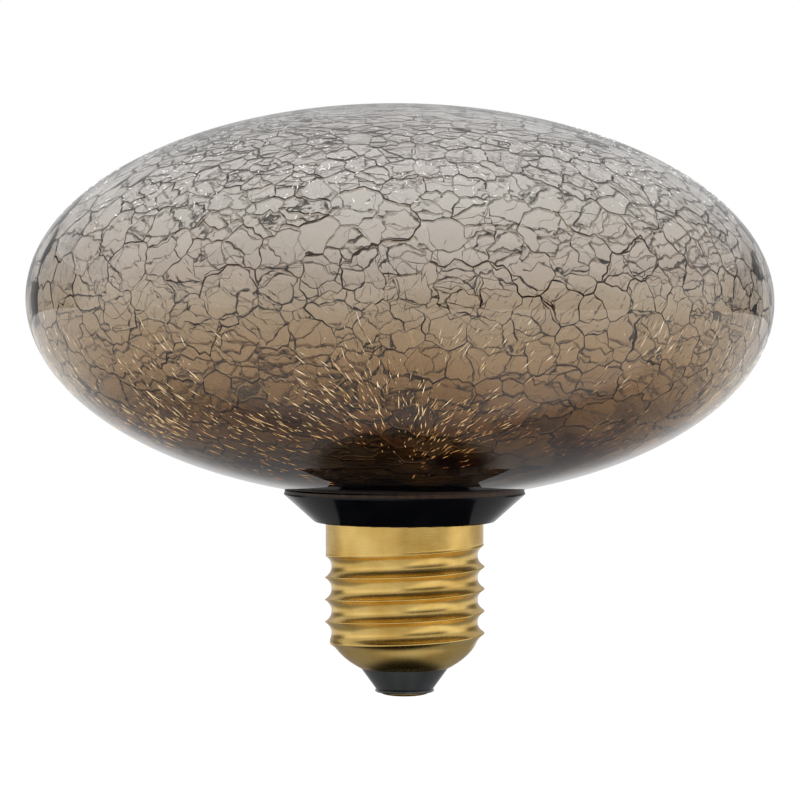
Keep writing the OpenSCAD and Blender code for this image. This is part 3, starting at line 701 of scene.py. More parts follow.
def shell_mesh(form, net, glass, material):
    """The wall of the bulb: a smooth outside, and an inside of cells like shallow pillows."""
    rng = np.random.default_rng(glass.seed + 1)
    waves = unit(rng.normal(size=(9, 3)))
    phase = rng.uniform(0, 2 * math.pi, 9)
    wave_length = 13 * MM

    def outside(d):
        """The outside of the glass, a little uneven from the blowing."""
        p = form.place(d)
        swell = np.sin(p @ waves.T / wave_length + phase).mean(axis=-1)
        return p + form.normal(d) * (glass.uneven * (swell - 1))[..., None]

    made = bmesh.new()
    cell_of, faces_of_cells = made.faces.layers.int.new("cell"), []
    turns, levels = 160, 72
    lowest = -math.acos(form.neck / form.radius)
    angles = [math.pi / 2 + (lowest - math.pi / 2) * (j + 1) / levels for j in range(levels)]
    rings = [[made.verts.new(p) for p in outside(d)] for d in rings_down(turns, angles)]
    pole = made.verts.new(outside(np.array([[0, 0, 1.0]]))[0])
    for z in (0.35, 1.0):
        level = rings[levels - 1][0].co.z
        down = level + (form.foot - level) * z
        rings.append([made.verts.new((form.neck * math.cos(i * 2 * math.pi / turns),
                                      form.neck * math.sin(i * 2 * math.pi / turns), down))
                      for i in range(turns)])
    for i in range(turns):
        n = (i + 1) % turns
        made.faces.new((pole, rings[0][i], rings[0][n]))
        for upper, lower in zip(rings, rings[1:]):
            made.faces.new((upper[i], lower[i], lower[n], upper[n]))
    outer_foot = rings[-1]

    # Inside: a broken lip and a fan to each cell, swelling inwards and leaning a little
    edge = {}
    bore_level = form.middle - (form.belly - form.wall) * math.sqrt(
        1 - (form.bore / (form.radius - form.wall)) ** 2)

    def clear_of_bore(p):
        """A point, moved out of the neck's bore if it lies in it."""
        r = math.hypot(p[0], p[1])
        if p[2] < form.middle and r < form.bore:
            grown = form.bore / max(r, 1e-9)
            p = np.array([p[0] * grown, p[1] * grown, bore_level])
        return p

    def border_vertex(i):
        if i not in edge:
            p = form.place(net.spots[i], form.wall - glass.groove)
            edge[i] = made.verts.new(clear_of_bore(p))
        return edge[i]

    for ring in net.cells:
        dirs = net.spots[ring]
        middle = unit(dirs.mean(axis=0))
        plain = form.place(middle)
        if plain[2] < form.middle and math.hypot(plain[0], plain[1]) < form.bore:
            continue
        verts = [border_vertex(i) for i in ring]
        across = unit(np.cross(form.normal(middle), UP + 1e-6))
        along = np.cross(form.normal(middle), across)
        slope = rng.normal(0, glass.tilt, 2)
        swell = glass.pillow * rng.uniform(0.4, 1.6)
        size = np.linalg.norm(form.place(dirs) - plain, axis=1)
        share = 1 - glass.lip / np.maximum(size, 1 * MM)
        mixed = unit(middle + (dirs - middle) * share[:, None])
        off = form.place(mixed) - plain
        turn = np.cross(off, np.roll(off, -1, axis=0)) @ form.normal(middle)
        fan = bool((turn * np.sign(turn.sum())).min() > 0)
        if not fan:
            # A cell with a hollow side: its lip runs beside its border, and no fan fits it
            rim = form.place(dirs)
            ahead = np.roll(rim, -1, axis=0) - np.roll(rim, 1, axis=0)
            inward = unit(np.cross(form.normal(middle), ahead)) * np.sign(turn.sum())
            off = rim + inward * (0.5 * glass.lip) - plain
            mixed = form.shift(dirs, inward, np.full(len(dirs), 0.5 * glass.lip))
        inset = form.wall + off @ across * slope[0] + off @ along * slope[1]
        points = form.place(mixed) - form.normal(mixed) * inset[:, None]
        lip = [made.verts.new(clear_of_bore(p)) for p in points]
        top = fan and made.verts.new(
            clear_of_bore(plain - form.normal(middle) * (form.wall + swell)))
        for i in range(len(ring)):
            n = (i + 1) % len(ring)
            made.faces.new((verts[i], lip[i], lip[n], verts[n]))
            if fan:
                made.faces.new((lip[i], top, lip[n]))[cell_of] = len(faces_of_cells) + 1
        if not fan:
            made.faces.new(lip[::-1])[cell_of] = len(faces_of_cells) + 1
        faces_of_cells.append(np.concatenate([
            across * slope[0] + along * slope[1], plain - form.normal(middle) * form.wall,
            [2 * swell / max(size.mean(), NARROWEST_LENS) ** 2]]))

    # The bore: the cells' lowest border goes straight down to the foot
    foot = set(outer_foot)
    loop = [e for e in made.edges if e.is_boundary and not foot.intersection(e.verts)]
    out = bmesh.ops.extrude_edge_only(made, edges=loop)
    low = [g for g in out["geom"] if isinstance(g, bmesh.types.BMVert)]
    for v in low:
        v.co.z = form.foot
    foot_edges = [e for e in made.edges if e.is_boundary]
    bmesh.ops.triangle_fill(made, edges=foot_edges, use_beauty=True)
    bmesh.ops.remove_doubles(made, verts=made.verts, dist=1e-7)
    bmesh.ops.triangulate(made, faces=[f for f in made.faces if len(f.verts) > 4])
    bmesh.ops.recalc_face_normals(made, faces=made.faces)
    mesh = bpy.data.meshes.new("crackle_glass_bulb")
    made.to_mesh(mesh)
    made.free()
    mesh.shade_smooth()
    mesh.set_sharp_from_angle(angle=SMOOTH_BELOW)

    # A cell's face is a smooth shallow lens, so its corners get the true normals of one
    def read(items, name, kind, width=1):
        values = np.empty(len(items) * width, kind)
        items.foreach_get(name, values)
        return values

    cell = np.repeat(read(mesh.attributes["cell"].data, "value", np.int32),
                     read(mesh.polygons, "loop_total", np.int32))
    spots = read(mesh.vertices, "co", np.float32, 3).reshape(-1, 3)[
        read(mesh.loops, "vertex_index", np.int32)]
    kept = cell > 0
    face = np.array(faces_of_cells)[cell[kept] - 1]
    normals = np.zeros((len(cell), 3))
    normals[kept] = unit(-form.normal_at(spots[kept], form.wall) - face[:, :3]
                         + (spots[kept] - face[:, 3:6]) * face[:, 6:])
    mesh.normals_split_custom_set(normals)
    mesh.attributes.remove(mesh.attributes["cell"])
    mesh.materials.append(material)
    return mesh


def prisms(form, paths, widths, depths, base=0.02 * MM):
    """Closed three-sided slivers along paths on the glass's inside, pointing into the wall.

    Their base lies a little inside the hollow, so that it never meets the glass's own face.
    """
    points, faces = [], []
    for path, width, depth in zip(paths, widths, depths):
        n = len(path)
        normal = form.normal(path)
        floor = form.place(path, form.wall + base)
        top = floor + normal * (depth + base)[:, None]
        ahead = unit(np.gradient(floor, axis=0))
        side = unit(np.cross(normal, ahead)) * (width / 2)[:, None]
        start = len(points)
        for k in range(n):
            points += [floor[k] - side[k], floor[k] + side[k], top[k]]
        for k in range(n - 1):
            a, b = start + 3 * k, start + 3 * k + 3
            for u, v in ((0, 1), (1, 2), (2, 0)):
                faces.append((a + u, a + v, b + v, b + u))
        faces.append((start, start + 2, start + 1))
        end = start + 3 * (n - 1)
        faces.append((end, end + 1, end + 2))
    return np.array(points), faces


class LAMP_OT_crackle_glass(bpy.types.Operator):
    """Blows the glass bulb and gives its inside the cells of the crackle"""

    bl_idname = "lamp.crackle_glass"
    bl_label = "Crackle glass"

    def execute(self, context):
        glass = context.scene.lamp_glass
        net = crackle(glass)
        mesh = shell_mesh(net.form, net, glass, crackle_glass())
        bulb = new_object("crackle_glass_bulb", mesh)
        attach(bulb, "root")
        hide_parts("glass_bulb")
        return {"FINISHED"}


class LAMP_OT_fissures(bpy.types.Operator):
    """Runs the fissures between the cells, and the hairlines across them"""

    bl_idname = "lamp.fissures"
    bl_label = "Fissures"

    def execute(self, context):
        glass = context.scene.lamp_glass
        net = crackle(glass)
        form = net.form
        rng = np.random.default_rng(glass.seed + 2)
        material = fissure_shadow(glass)

        def shown(path):
            """Whether a path stays clear of the neck."""
            p = form.place(path)
            r = np.hypot(p[:, 0], p[:, 1])
            return not ((r < form.bore + 1 * MM) & (p[:, 2] < form.middle)).any()

        def uneven(n, spread):
            """Widths along a fissure, which swell and narrow."""
            s = np.linspace(0, 1, n)
            wave = sum(np.sin(2 * math.pi * (k * s + rng.uniform())) for k in (1, 2, 3)) / 2
            return np.clip(np.exp(spread * wave + rng.normal(0, 0.2, n)), 0.15, 2.0)

        def opened(path):
            """How far it gapes: at the crown, wide where it runs round, shut where it runs up."""
            p = form.place(path)
            level = np.abs((unit(np.gradient(p, axis=0)) * unit(np.cross(UP, p))).sum(axis=1))
            return 1 + ease(CROWN_LOW, CROWN_HIGH, p[:, 2]) * (1.2 * level ** 2 - 0.6)

        paths, widths, depths = [], [], []
        for crack, strength in zip(net.cracks, net.strength):
            path = net.spots[crack]
            if strength < 0.1 or not shown(path):
                continue
            shape = uneven(len(path), 0.7) * opened(path)
            paths.append(path)
            widths.append(np.minimum(glass.crack * strength * shape, WIDEST * glass.crack))
            depths.append(np.minimum(glass.crack_depth * (0.5 + 0.5 * strength) * shape,
                                     DEEPEST * glass.crack_depth))
            if rng.uniform() < DOUBLED:
                # A second fissure beside the first, meeting it at both ends
                p = form.place(path)
                side = unit(np.cross(form.normal(path), np.gradient(p, axis=0)))
                bow = np.sin(np.linspace(0, math.pi, len(path))) * rng.uniform(-1, 1) * BOW
                paths.append(form.shift(path, side, bow))
                widths.append(0.6 * glass.crack * strength * uneven(len(path), 0.7))
                depths.append(0.6 * glass.crack_depth * strength * shape)
        points, faces = prisms(form, paths, widths, depths)
        self.keep("fissures", points, faces, material)

        paths, widths, depths = [], [], []
        for path, through, strength in net.hairs:
            if not shown(path):
                continue
            s = np.linspace(0, 1, len(path))
            shape = uneven(len(path), 0.5) * opened(path)
            if not through:
                shape *= 1 - 0.92 * s ** 2
            paths.append(path)
            widths.append(0.5 * glass.crack * strength * shape)
            depths.append(0.6 * glass.crack_depth * strength * shape)
        points, faces = prisms(form, paths, widths, depths)
        self.keep("hairlines", points, faces, material)
        return {"FINISHED"}

    @staticmethod
    def keep(name, points, faces, material):
        """Keeps the slivers as a piece of the glass."""
        made = new_object(name, new_mesh(name, points, faces, material, smooth=False))
        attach(made, "root")


# ---------------------------------------------------------------- slivers on the glass


def sliver_tree():
    """Geometry Nodes: slivers scattered over a surface, each along its own meridian."""
    tree = bpy.data.node_groups.new("slivers_along_meridians", "GeometryNodeTree")
    face = tree.interface
    face.new_socket("Geometry", in_out="INPUT", socket_type="NodeSocketGeometry")
    for name, kind, value in (
        ("Density", "NodeSocketFloat", 1.0), ("Seed", "NodeSocketInt", 1),
        ("Length", "NodeSocketFloat", 2 * MM), ("Width", "NodeSocketFloat", 0.12 * MM),
        ("Thickness", "NodeSocketFloat", 0.1 * MM), ("Lowest", "NodeSocketFloat", 0.0),
        ("Highest", "NodeSocketFloat", 1.0), ("Fade", "NodeSocketFloat", 4 * MM),
        ("Cluster", "NodeSocketFloat", 14 * MM), ("Clear share", "NodeSocketFloat", 0.45),
        ("Turn", "NodeSocketFloat", 0.2), ("Sink", "NodeSocketFloat", 0.0),
        ("Material", "NodeSocketMaterial", None),
    ):
        made = face.new_socket(name, in_out="INPUT", socket_type=kind)
        if value is not None:
            made.default_value = value
    face.new_socket("Geometry", in_out="OUTPUT", socket_type="NodeSocketGeometry")
    given = node(tree, "NodeGroupInput").outputs
    place = node(tree, "GeometryNodeInputPosition").outputs[0]
    spot = node(tree, "ShaderNodeSeparateXYZ", {0: place}).outputs
    known = {socket.name: socket for socket in given}
    known.update(x=spot["X"], z=spot["Z"])
    # Slivers thin out towards both ends of their band, and stand in clusters
    worked_out(tree, known, (
        ("full", "Lowest", "ADD", "Fade"),
        ("above", "z", "LINEAR", "Lowest", "full"),
        ("thin", "Highest", "SUBTRACT", "Fade"),
        ("below", "z", "LINEAR", "Highest", "thin"),
        ("fine", 1.0, "DIVIDE", "Cluster"),
    ))
    known["cloud"] = node(tree, "ShaderNodeTexNoise", {
        "Vector": place, "Scale": known["fine"], "Detail": 2.0}).outputs[0]
    worked_out(tree, known, (
        ("dense", "Clear share", "ADD", 0.16),
        ("patch", "cloud", "LINEAR", "Clear share", "dense", "MULTIPLY", "Density"),
        ("density", "above", "MULTIPLY", "below", "MULTIPLY", "patch"),
    ))
    spread = node(tree, "GeometryNodeDistributePointsOnFaces", {
        "Mesh": given["Geometry"], "Density": known["density"], "Seed": given["Seed"]})
    normal = spread.outputs["Normal"]
    # They run up the glass, and lean outwards a little to either side of the middle
    worked_out(tree, known, (
        ("side", "x", "LINEAR", -15 * MM, 15 * MM, -0.8, 0.8),
        ("left", "Turn", "MULTIPLY", -1.0),
    ))
    aim_at = node(tree, "ShaderNodeCombineXYZ", {"X": known["side"], "Z": 1.0}).outputs[0]
    east = node(tree, "ShaderNodeVectorMath", {0: aim_at, 1: normal},
                operation="CROSS_PRODUCT").outputs[0]
    down = node(tree, "ShaderNodeVectorMath", {0: normal, 1: east},
                operation="CROSS_PRODUCT").outputs[0]
    turn = node(tree, "FunctionNodeRandomValue", {
        2: known["left"], 3: given["Turn"], "Seed": given["Seed"]},
        data_type="FLOAT").outputs[1]
    tip = node(tree, "FunctionNodeRandomValue", {2: -0.9, 3: 0.9, "Seed": 7},
               data_type="FLOAT").outputs[1]
    aim = node(tree, "FunctionNodeAxesToRotation", {0: down, 1: normal},
               primary_axis="X", secondary_axis="Z").outputs[0]
    own = node(tree, "FunctionNodeEulerToRotation", {
        0: node(tree, "ShaderNodeCombineXYZ", {"X": tip, "Z": turn}).outputs[0]}).outputs[0]
    turned = node(tree, "FunctionNodeRotateRotation", {0: aim, 1: own},
                  rotation_space="LOCAL").outputs[0]
    known["grow"] = node(tree, "FunctionNodeRandomValue", {2: 0.25, 3: 1.0, "Seed": 3},
                         data_type="FLOAT").outputs[1]
    # Most are short, and a long one is also a little wider
    worked_out(tree, known, (
        ("grow", "grow", "POWER", 1.5),
        ("long", "grow", "MULTIPLY", "Length"),
        ("wide", "grow", "MULTIPLY", 0.5, "ADD", 0.5, "MULTIPLY", "Width"),
        ("sink", "Sink", "MULTIPLY", -1.0),
    ))
    size = node(tree, "ShaderNodeCombineXYZ", {
        "X": known["long"], "Y": known["wide"], "Z": given["Thickness"]}).outputs[0]
    sunk = node(tree, "ShaderNodeVectorMath", {0: normal, 3: known["sink"]},
                operation="SCALE").outputs[0]
    held = node(tree, "GeometryNodeSetPosition", {
        "Geometry": spread.outputs["Points"], "Offset": sunk})
    sliver = node(tree, "GeometryNodeMeshUVSphere", {"Segments": 4, "Rings": 2, "Radius": 0.5})
    put = node(tree, "GeometryNodeInstanceOnPoints", {
        "Points": held.outputs[0], "Instance": sliver.outputs["Mesh"], "Rotation": turned,
        "Scale": size})
    real = node(tree, "GeometryNodeRealizeInstances", {0: put.outputs[0]})
    dressed = node(tree, "GeometryNodeSetMaterial", {
        "Geometry": real.outputs[0], "Material": given["Material"]})
    node(tree, "NodeGroupOutput", {0: dressed.outputs[0]})
    return tree


def grown(name, base, tree, values):
    """Runs a Geometry Nodes tree on a mesh, and keeps its result as an object's plain mesh."""
    holder = new_object(name, base)
    modifier = holder.modifiers.new(tree.name, "NODES")
    modifier.node_group = tree
    for item in tree.interface.items_tree:
        if item.in_out == "INPUT" and item.name in values:
            modifier[item.identifier] = values[item.name]
    graph = bpy.context.evaluated_depsgraph_get()
    mesh = bpy.data.meshes.new_from_object(holder.evaluated_get(graph))
    holder.modifiers.clear()
    holder.data = mesh
    mesh.name = name
    return holder


def carrier_mesh(form):
    """A plain surface just under the outside of the glass, to scatter on."""
    turns, levels = 96, 64
    lowest = -math.acos(1.35 * form.neck / form.radius)
    highest = math.radians(88)
    angles = [highest + (lowest - highest) * j / (levels - 1) for j in range(levels)]
    points = [p for d in rings_down(turns, angles) for p in form.place(d, 0.08 * MM)]
    faces = []
    for j in range(levels - 1):
        for i in range(turns):
            n = (i + 1) % turns
            faces.append((j * turns + i, (j + 1) * turns + i, (j + 1) * turns + n, j * turns + n))
    return points, faces


class LAMP_OT_slivers(bpy.types.Operator):
    """Scatters the fracture faces with painted glints, and the short dark ones of painted shade
    beside them
    """

    bl_idname = "lamp.slivers"
    bl_label = "Slivers"

    def execute(self, context):
        form = crackle(context.scene.lamp_glass).form
        points, faces = carrier_mesh(form)
        tree = sliver_tree()
        # Faces that glow by emission: painted glints
        glint_glow = fissure_glint()
        dark = bpy.data.materials["fissure_shadow"]
        top = glass_high.z
        for name, values in (
            ("gold_glints", {"Density": 750000.0, "Seed": 5, "Length": 2.8 * MM,
                             "Width": 0.13 * MM, "Thickness": 0.1 * MM, "Lowest": 35 * MM,
                             "Highest": 64 * MM, "Fade": 11 * MM, "Clear share": 0.46,
                             "Turn": 0.3, "Material": glint_glow}),
            ("dark_slivers", {"Density": 450000.0, "Seed": 9, "Length": 2.4 * MM,
                              "Width": 0.15 * MM, "Thickness": 0.06 * MM, "Lowest": 35 * MM,
                              "Highest": 76 * MM, "Fade": 9 * MM, "Clear share": 0.46,
                              "Turn": 0.3, "Sink": 0.3 * MM, "Material": dark}),
            ("white_glints", {"Density": 700000.0, "Seed": 15, "Length": 1.3 * MM,
                              "Width": 0.16 * MM, "Thickness": 0.12 * MM, "Lowest": 76 * MM,
                              "Highest": top + 1 * MM, "Fade": 9 * MM, "Clear share": 0.5,
                              "Turn": 1.6, "Cluster": 9 * MM, "Material": glint_glow}),
        ):
            made = grown(name, new_mesh(name + "_base", points, faces), tree, values)
            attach(made, "root")
        return {"FINISHED"}


# ---------------------------------------------------------------- cap

# Where the shoulder starts to round in, how far down it would close, and how full it is
SHOULDER_TOP, SHOULDER_REACH, SHOULDER_FULLNESS = 9.6 * MM, 7 * MM, 1.7
# Heights between which the thread rises out of the shoulder
THREAD_START, THREAD_FULL = 7.2 * MM, 9.8 * MM
# How narrow the crests are next to the troughs
CREST_SHARPNESS = 2.4
# How far the thread runs out below and above the skirt's foot
RUN_OUT_BELOW, RUN_OUT_ABOVE = 0.7 * MM, 0.1 * MM


def thread_tree():
    """Geometry Nodes: sheet rolled to a right-hand thread, with a shoulder and a skirt."""
    tree = bpy.data.node_groups.new("rolled_thread", "GeometryNodeTree")
    face = tree.interface
    for name, kind in (
        ("Foot", "NodeSocketFloat"), ("Head", "NodeSocketFloat"), ("Pitch", "NodeSocketFloat"),
        ("Depth", "NodeSocketFloat"), ("Root radius", "NodeSocketFloat"),
        ("Skirt radius", "NodeSocketFloat"), ("Skirt foot", "NodeSocketFloat"),
        ("First crest", "NodeSocketFloat"), ("Shoulder top", "NodeSocketFloat"),
        ("Shoulder reach", "NodeSocketFloat"), ("Columns", "NodeSocketInt"),
        ("Rows", "NodeSocketInt"), ("Material", "NodeSocketMaterial"),
    ):
        face.new_socket(name, in_out="INPUT", socket_type=kind)
    face.new_socket("Geometry", in_out="OUTPUT", socket_type="NodeSocketGeometry")
    given = node(tree, "NodeGroupInput").outputs
    known = worked_out(tree, {socket.name: socket for socket in given}, (
        ("turns", "Head", "SUBTRACT", "Foot", "DIVIDE", "Pitch", "CEIL", "ADD", 2.0),
        ("lines", "turns", "MULTIPLY", "Rows", "ADD", 1.0),
        ("posts", "Columns", "ADD", 1.0),
    ))
    sheet = node(tree, "GeometryNodeMeshGrid", {
        "Size X": 1.0, "Size Y": 1.0, "Vertices X": known["posts"],
        "Vertices Y": known["lines"]}).outputs["Mesh"]
    spot = node(tree, "ShaderNodeSeparateXYZ", {
        0: node(tree, "GeometryNodeInputPosition").outputs[0]}).outputs
    known.update(x=spot["X"], y=spot["Y"])
    worked_out(tree, known, (
        # Share of a turn round the axis, and whole turns along it
        ("round", "x", "ADD", 0.5),
        ("along", "y", "ADD", 0.5, "MULTIPLY", "turns"),
        # The lowest row starts on a crest, at least a turn below the foot
        ("back", "First crest", "SUBTRACT", "Foot", "DIVIDE", "Pitch", "CEIL", "ADD", 1.0,
         "MULTIPLY", "Pitch"),
        ("start", "First crest", "SUBTRACT", "back"),
        ("z", "round", "ADD", "along", "MULTIPLY", "Pitch", "ADD", "start",
         "MAXIMUM", "Foot", "MINIMUM", "Head"),
        # The shoulder rounds in below the thread
        ("bend", "Shoulder top", "SUBTRACT", "z", "DIVIDE", "Shoulder reach", "MAXIMUM", 0.0,
         "POWER", SHOULDER_FULLNESS),
        ("plain", 1.0, "SUBTRACT", "bend", "MAXIMUM", 0.0, "POWER", 1 / SHOULDER_FULLNESS,
         "MULTIPLY", "Root radius"),
        # Broad troughs between narrow crests; 50 turns more keep the share of a turn above 0
        ("phase", "z", "SUBTRACT", "First crest", "DIVIDE", "Pitch", "SUBTRACT", "round",
         "ADD", 50.0, "FRACT"),
        ("risen", "z", "SMOOTHSTEP", THREAD_START, THREAD_FULL),
        ("cut", "phase", "MULTIPLY", 2.0, "SUBTRACT", 1.0, "ABSOLUTE", "POWER", CREST_SHARPNESS,
         "MULTIPLY", "risen", "MULTIPLY", "Depth", "ADD", "plain"),
        # The skirt's foot follows the highest crest, a quarter of a pitch up and down
        ("angle", "round", "MULTIPLY", 2 * math.pi),
        ("cosine", "angle", "COSINE"),
        ("sine", "angle", "SINE"),
        ("edge", "Pitch", "MULTIPLY", 0.25, "MULTIPLY", "cosine", "ADD", "Skirt foot"),
        ("low", "edge", "SUBTRACT", RUN_OUT_BELOW),
        ("high", "edge", "ADD", RUN_OUT_ABOVE),
        ("flat", "z", "SMOOTHSTEP", "low", "high"),
        ("radius", "Skirt radius", "SUBTRACT", "cut", "MULTIPLY", "flat", "ADD", "cut"),
        ("x", "radius", "MULTIPLY", "cosine"),
        ("y", "radius", "MULTIPLY", "sine"),
    ))
    place = node(tree, "ShaderNodeCombineXYZ", {
        "X": known["x"], "Y": known["y"], "Z": known["z"]}).outputs[0]
    bent = node(tree, "GeometryNodeSetPosition", {"Geometry": sheet, "Position": place})
    closed = node(tree, "GeometryNodeMergeByDistance", {
        "Geometry": bent.outputs[0], "Distance": 0.004 * MM})
    soft = node(tree, "GeometryNodeSetShadeSmooth", {"Geometry": closed.outputs[0]})
    dressed = node(tree, "GeometryNodeSetMaterial", {
        "Geometry": soft.outputs[0], "Material": given["Material"]})
    real = node(tree, "GeometryNodeRealizeInstances", {0: dressed.outputs[0]})
    node(tree, "NodeGroupOutput", {0: real.outputs[0]})
    return tree


class LAMP_OT_screw_shell(bpy.types.Operator):
    """Rolls the brass screw shell with its thread, shoulder and skirt"""

    bl_idname = "lamp.screw_shell"
    bl_label = "Screw shell"

    def execute(self, context):
        cap = context.scene.lamp_cap
        brass = rolled_brass("rolled_brass_sheet", cap.brass, cap.stained, 0.25)
        values = {
            "Foot": shell_low.z, "Head": shell_high.z, "Pitch": cap.pitch, "Depth": cap.depth,
            "Root radius": CREST_R - cap.depth, "Skirt radius": CREST_R - cap.step,
            "Skirt foot": shell_high.z - cap.skirt, "First crest": cap.first_crest,
            "Shoulder top": SHOULDER_TOP, "Shoulder reach": SHOULDER_REACH, "Columns": cap.columns,
            "Rows": cap.rows, "Material": brass,
        }
        empty = bpy.data.meshes.new("screw_shell_sheet")
        shell = grown("rolled_screw_shell", empty, thread_tree(), values)
        mesh = shell.data
        made = bmesh.new()
        made.from_mesh(mesh)
        bmesh.ops.dissolve_degenerate(made, dist=0.002 * MM, edges=made.edges)
        bmesh.ops.recalc_face_normals(made, faces=made.faces)
        made.to_mesh(mesh)
        made.free()
        wall = shell.modifiers.new("sheet", "SOLIDIFY")
        wall.thickness, wall.offset = cap.sheet, -1
        graph = context.evaluated_depsgraph_get()
        shell.data = bpy.data.meshes.new_from_object(shell.evaluated_get(graph))
        shell.modifiers.clear()
        shell.data.name = shell.name
        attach(shell, "root")
        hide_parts("screw_shell")
        return {"FINISHED"}


class LAMP_OT_cap_end(bpy.types.Operator):
    """Finishes the glass insulator and the centre contact"""

    bl_idname = "lamp.cap_end"
    bl_label = "Insulator and contact"

    def execute(self, context):
        # Pressed opaque glass: black, glossy from the mould, faintly rippled
        cap = context.scene.lamp_cap
        give(solid_finish("pressed_black_glass", cap.insulator, "#0b0d0f", 3.0, 0.12, 0.04, 0.02,
                          IOR=1.6, **{"Coat Weight": 0.5}), "cap_insulator")
        give(rolled_brass("stamped_brass_contact", "#d9b264", "#a8843f", 0.3), "centre_contact")
        return {"FINISHED"}


class LAMP_OT_collar(bpy.types.Operator):
    """Finishes the collar and the adhesive that holds the glass in it"""

    bl_idname = "lamp.collar"
    bl_label = "Collar and adhesive"

    def execute(self, context):
        # Moulded ABS with a polished tool: near black, glossy, faint flow marks
        cap = context.scene.lamp_cap
        give(solid_finish("moulded_gloss_black", cap.collar, "#050609", 4.0, 0.2, 0.04, 0.01,
                          IOR=1.5, **{"Specular IOR Level": 0.3}), "collar")
        # Cured silicone: amber brown, satin, slightly lumpy where it was laid as a bead
        give(solid_finish("cured_amber_silicone", "#4c3018", "#22150b", 1.6, 0.38, 0.1, 0.1,
                          IOR=1.41), "glass_adhesive")
        return {"FINISHED"}


class LAMP_OT_led_module(bpy.types.Operator):
    """Finishes the pedestal and the LED module on it"""

    bl_idname = "lamp.led_module"
    bl_label = "LED module"

    def execute(self, context):
        # Heat-conducting moulding compound: black, satin, with a fine glass-fibre grain
        give(solid_finish("moulded_satin_black", "#131316", "#060607", 0.8, 0.42, 0.08, 0.02,
                          IOR=1.5), "pedestal", "led_retainer")
        # Filled silicone pad: grey-blue, matt, rubbery
        give(solid_finish("filled_silicone_pad", "#aab2ba", "#939ca6", 0.6, 0.8, 0.08, 0.02),
             "thermal_pad")
        # White solder resist on an aluminium board, screen printed: pale, satin
        give(solid_finish("white_solder_resist", "#efeee8", "#d9d6cc", 2.0, 0.42, 0.08, 0.01,
                          IOR=1.5), "led_board")
        # Dispensed phosphor gel in white packages: warm yellow, softly glossy
        give(solid_finish("dispensed_phosphor_gel", "#f2c95a", "#dda832", 0.5, 0.35, 0.08, 0.02,
                          IOR=1.41), "led_packages")
        # Zinc-plated steel: cool silver with faint cloudy plating
        give(solid_finish("zinc_plated_steel", "#c9cbc9", "#a7aaa9", 1.2, 0.32, 0.08, 0.01, 1.0),
             "module_screws")
        return {"FINISHED"}


class LAMP_OT_driver(bpy.types.Operator):
    """Finishes the driver board, its components, leads and solder"""

    bl_idname = "lamp.driver"
    bl_label = "Driver"

    def execute(self, context):
        # Green solder mask over glass-epoxy laminate: glossy with a faint weave mottle
        give(solid_finish("green_laminate_mask", "#2b6a3c", "#1c4f2b", 0.7, 0.3, 0.06, 0.01,
                          IOR=1.55), "driver_board")
        # Shrunk PVC sleeves over aluminium cans: deep blue, glossy, slightly wrinkled
        give(solid_finish("shrunk_navy_sleeve", "#232747", "#161831", 1.5, 0.28, 0.06, 0.03),
             "input_capacitor")
        give(solid_finish("shrunk_blue_sleeve", "#27506f", "#193951", 1.5, 0.28, 0.06, 0.03),
             "output_capacitor")
        # Sintered ferrite: dark grey, matt, granular
        give(solid_finish("sintered_ferrite", "#3a3837", "#232221", 0.3, 0.7, 0.1, 0.03),
             "inductor_core")
        # Enamelled copper wire wound in turns: copper red under clear enamel
        give(solid_finish("enamelled_copper_wire", "#c06c38", "#8e4420", 0.25, 0.25, 0.08, 0.05,
                          1.0), "inductor_winding")
        # Fired resistor lacquer: pale blue, satin, dipped
        give(solid_finish("dipped_resistor_lacquer", "#7f9db4", "#5f7d95", 0.9, 0.4, 0.08, 0.02),
             "fusible_resistor")
        # Epoxy moulding compound of the packages: charcoal, matt, fine spark-eroded grain
        give(solid_finish("moulded_epoxy_package", "#222224", "#151516", 0.25, 0.6, 0.1, 0.02),
             "bridge_rectifier", "driver_chip", "output_diode", "chip_resistors")
        # Extruded PVC insulation of the leads: even, slightly glossy
        give(solid_finish("extruded_red_pvc", "#b3221a", "#8f1812", 1.0, 0.38, 0.06, 0.01),
             "live_lead", "led_lead_positive")
        give(solid_finish("extruded_black_pvc", "#161616", "#0c0c0c", 1.0, 0.38, 0.06, 0.01),
             "led_lead_negative")
        # Tinned copper: bright, a little wavy
        give(solid_finish("tinned_copper_wire", "#cfcdc8", "#aeaca6", 0.8, 0.28, 0.06, 0.01, 1.0),
             "neutral_lead")
        # Reflowed solder: bright grey with a frosty grain
        give(solid_finish("reflowed_solder", "#c4c6c8", "#9b9ea2", 0.4, 0.3, 0.1, 0.02, 1.0),
             "solder_joints")
        return {"FINISHED"}


# ---------------------------------------------------------------- studio


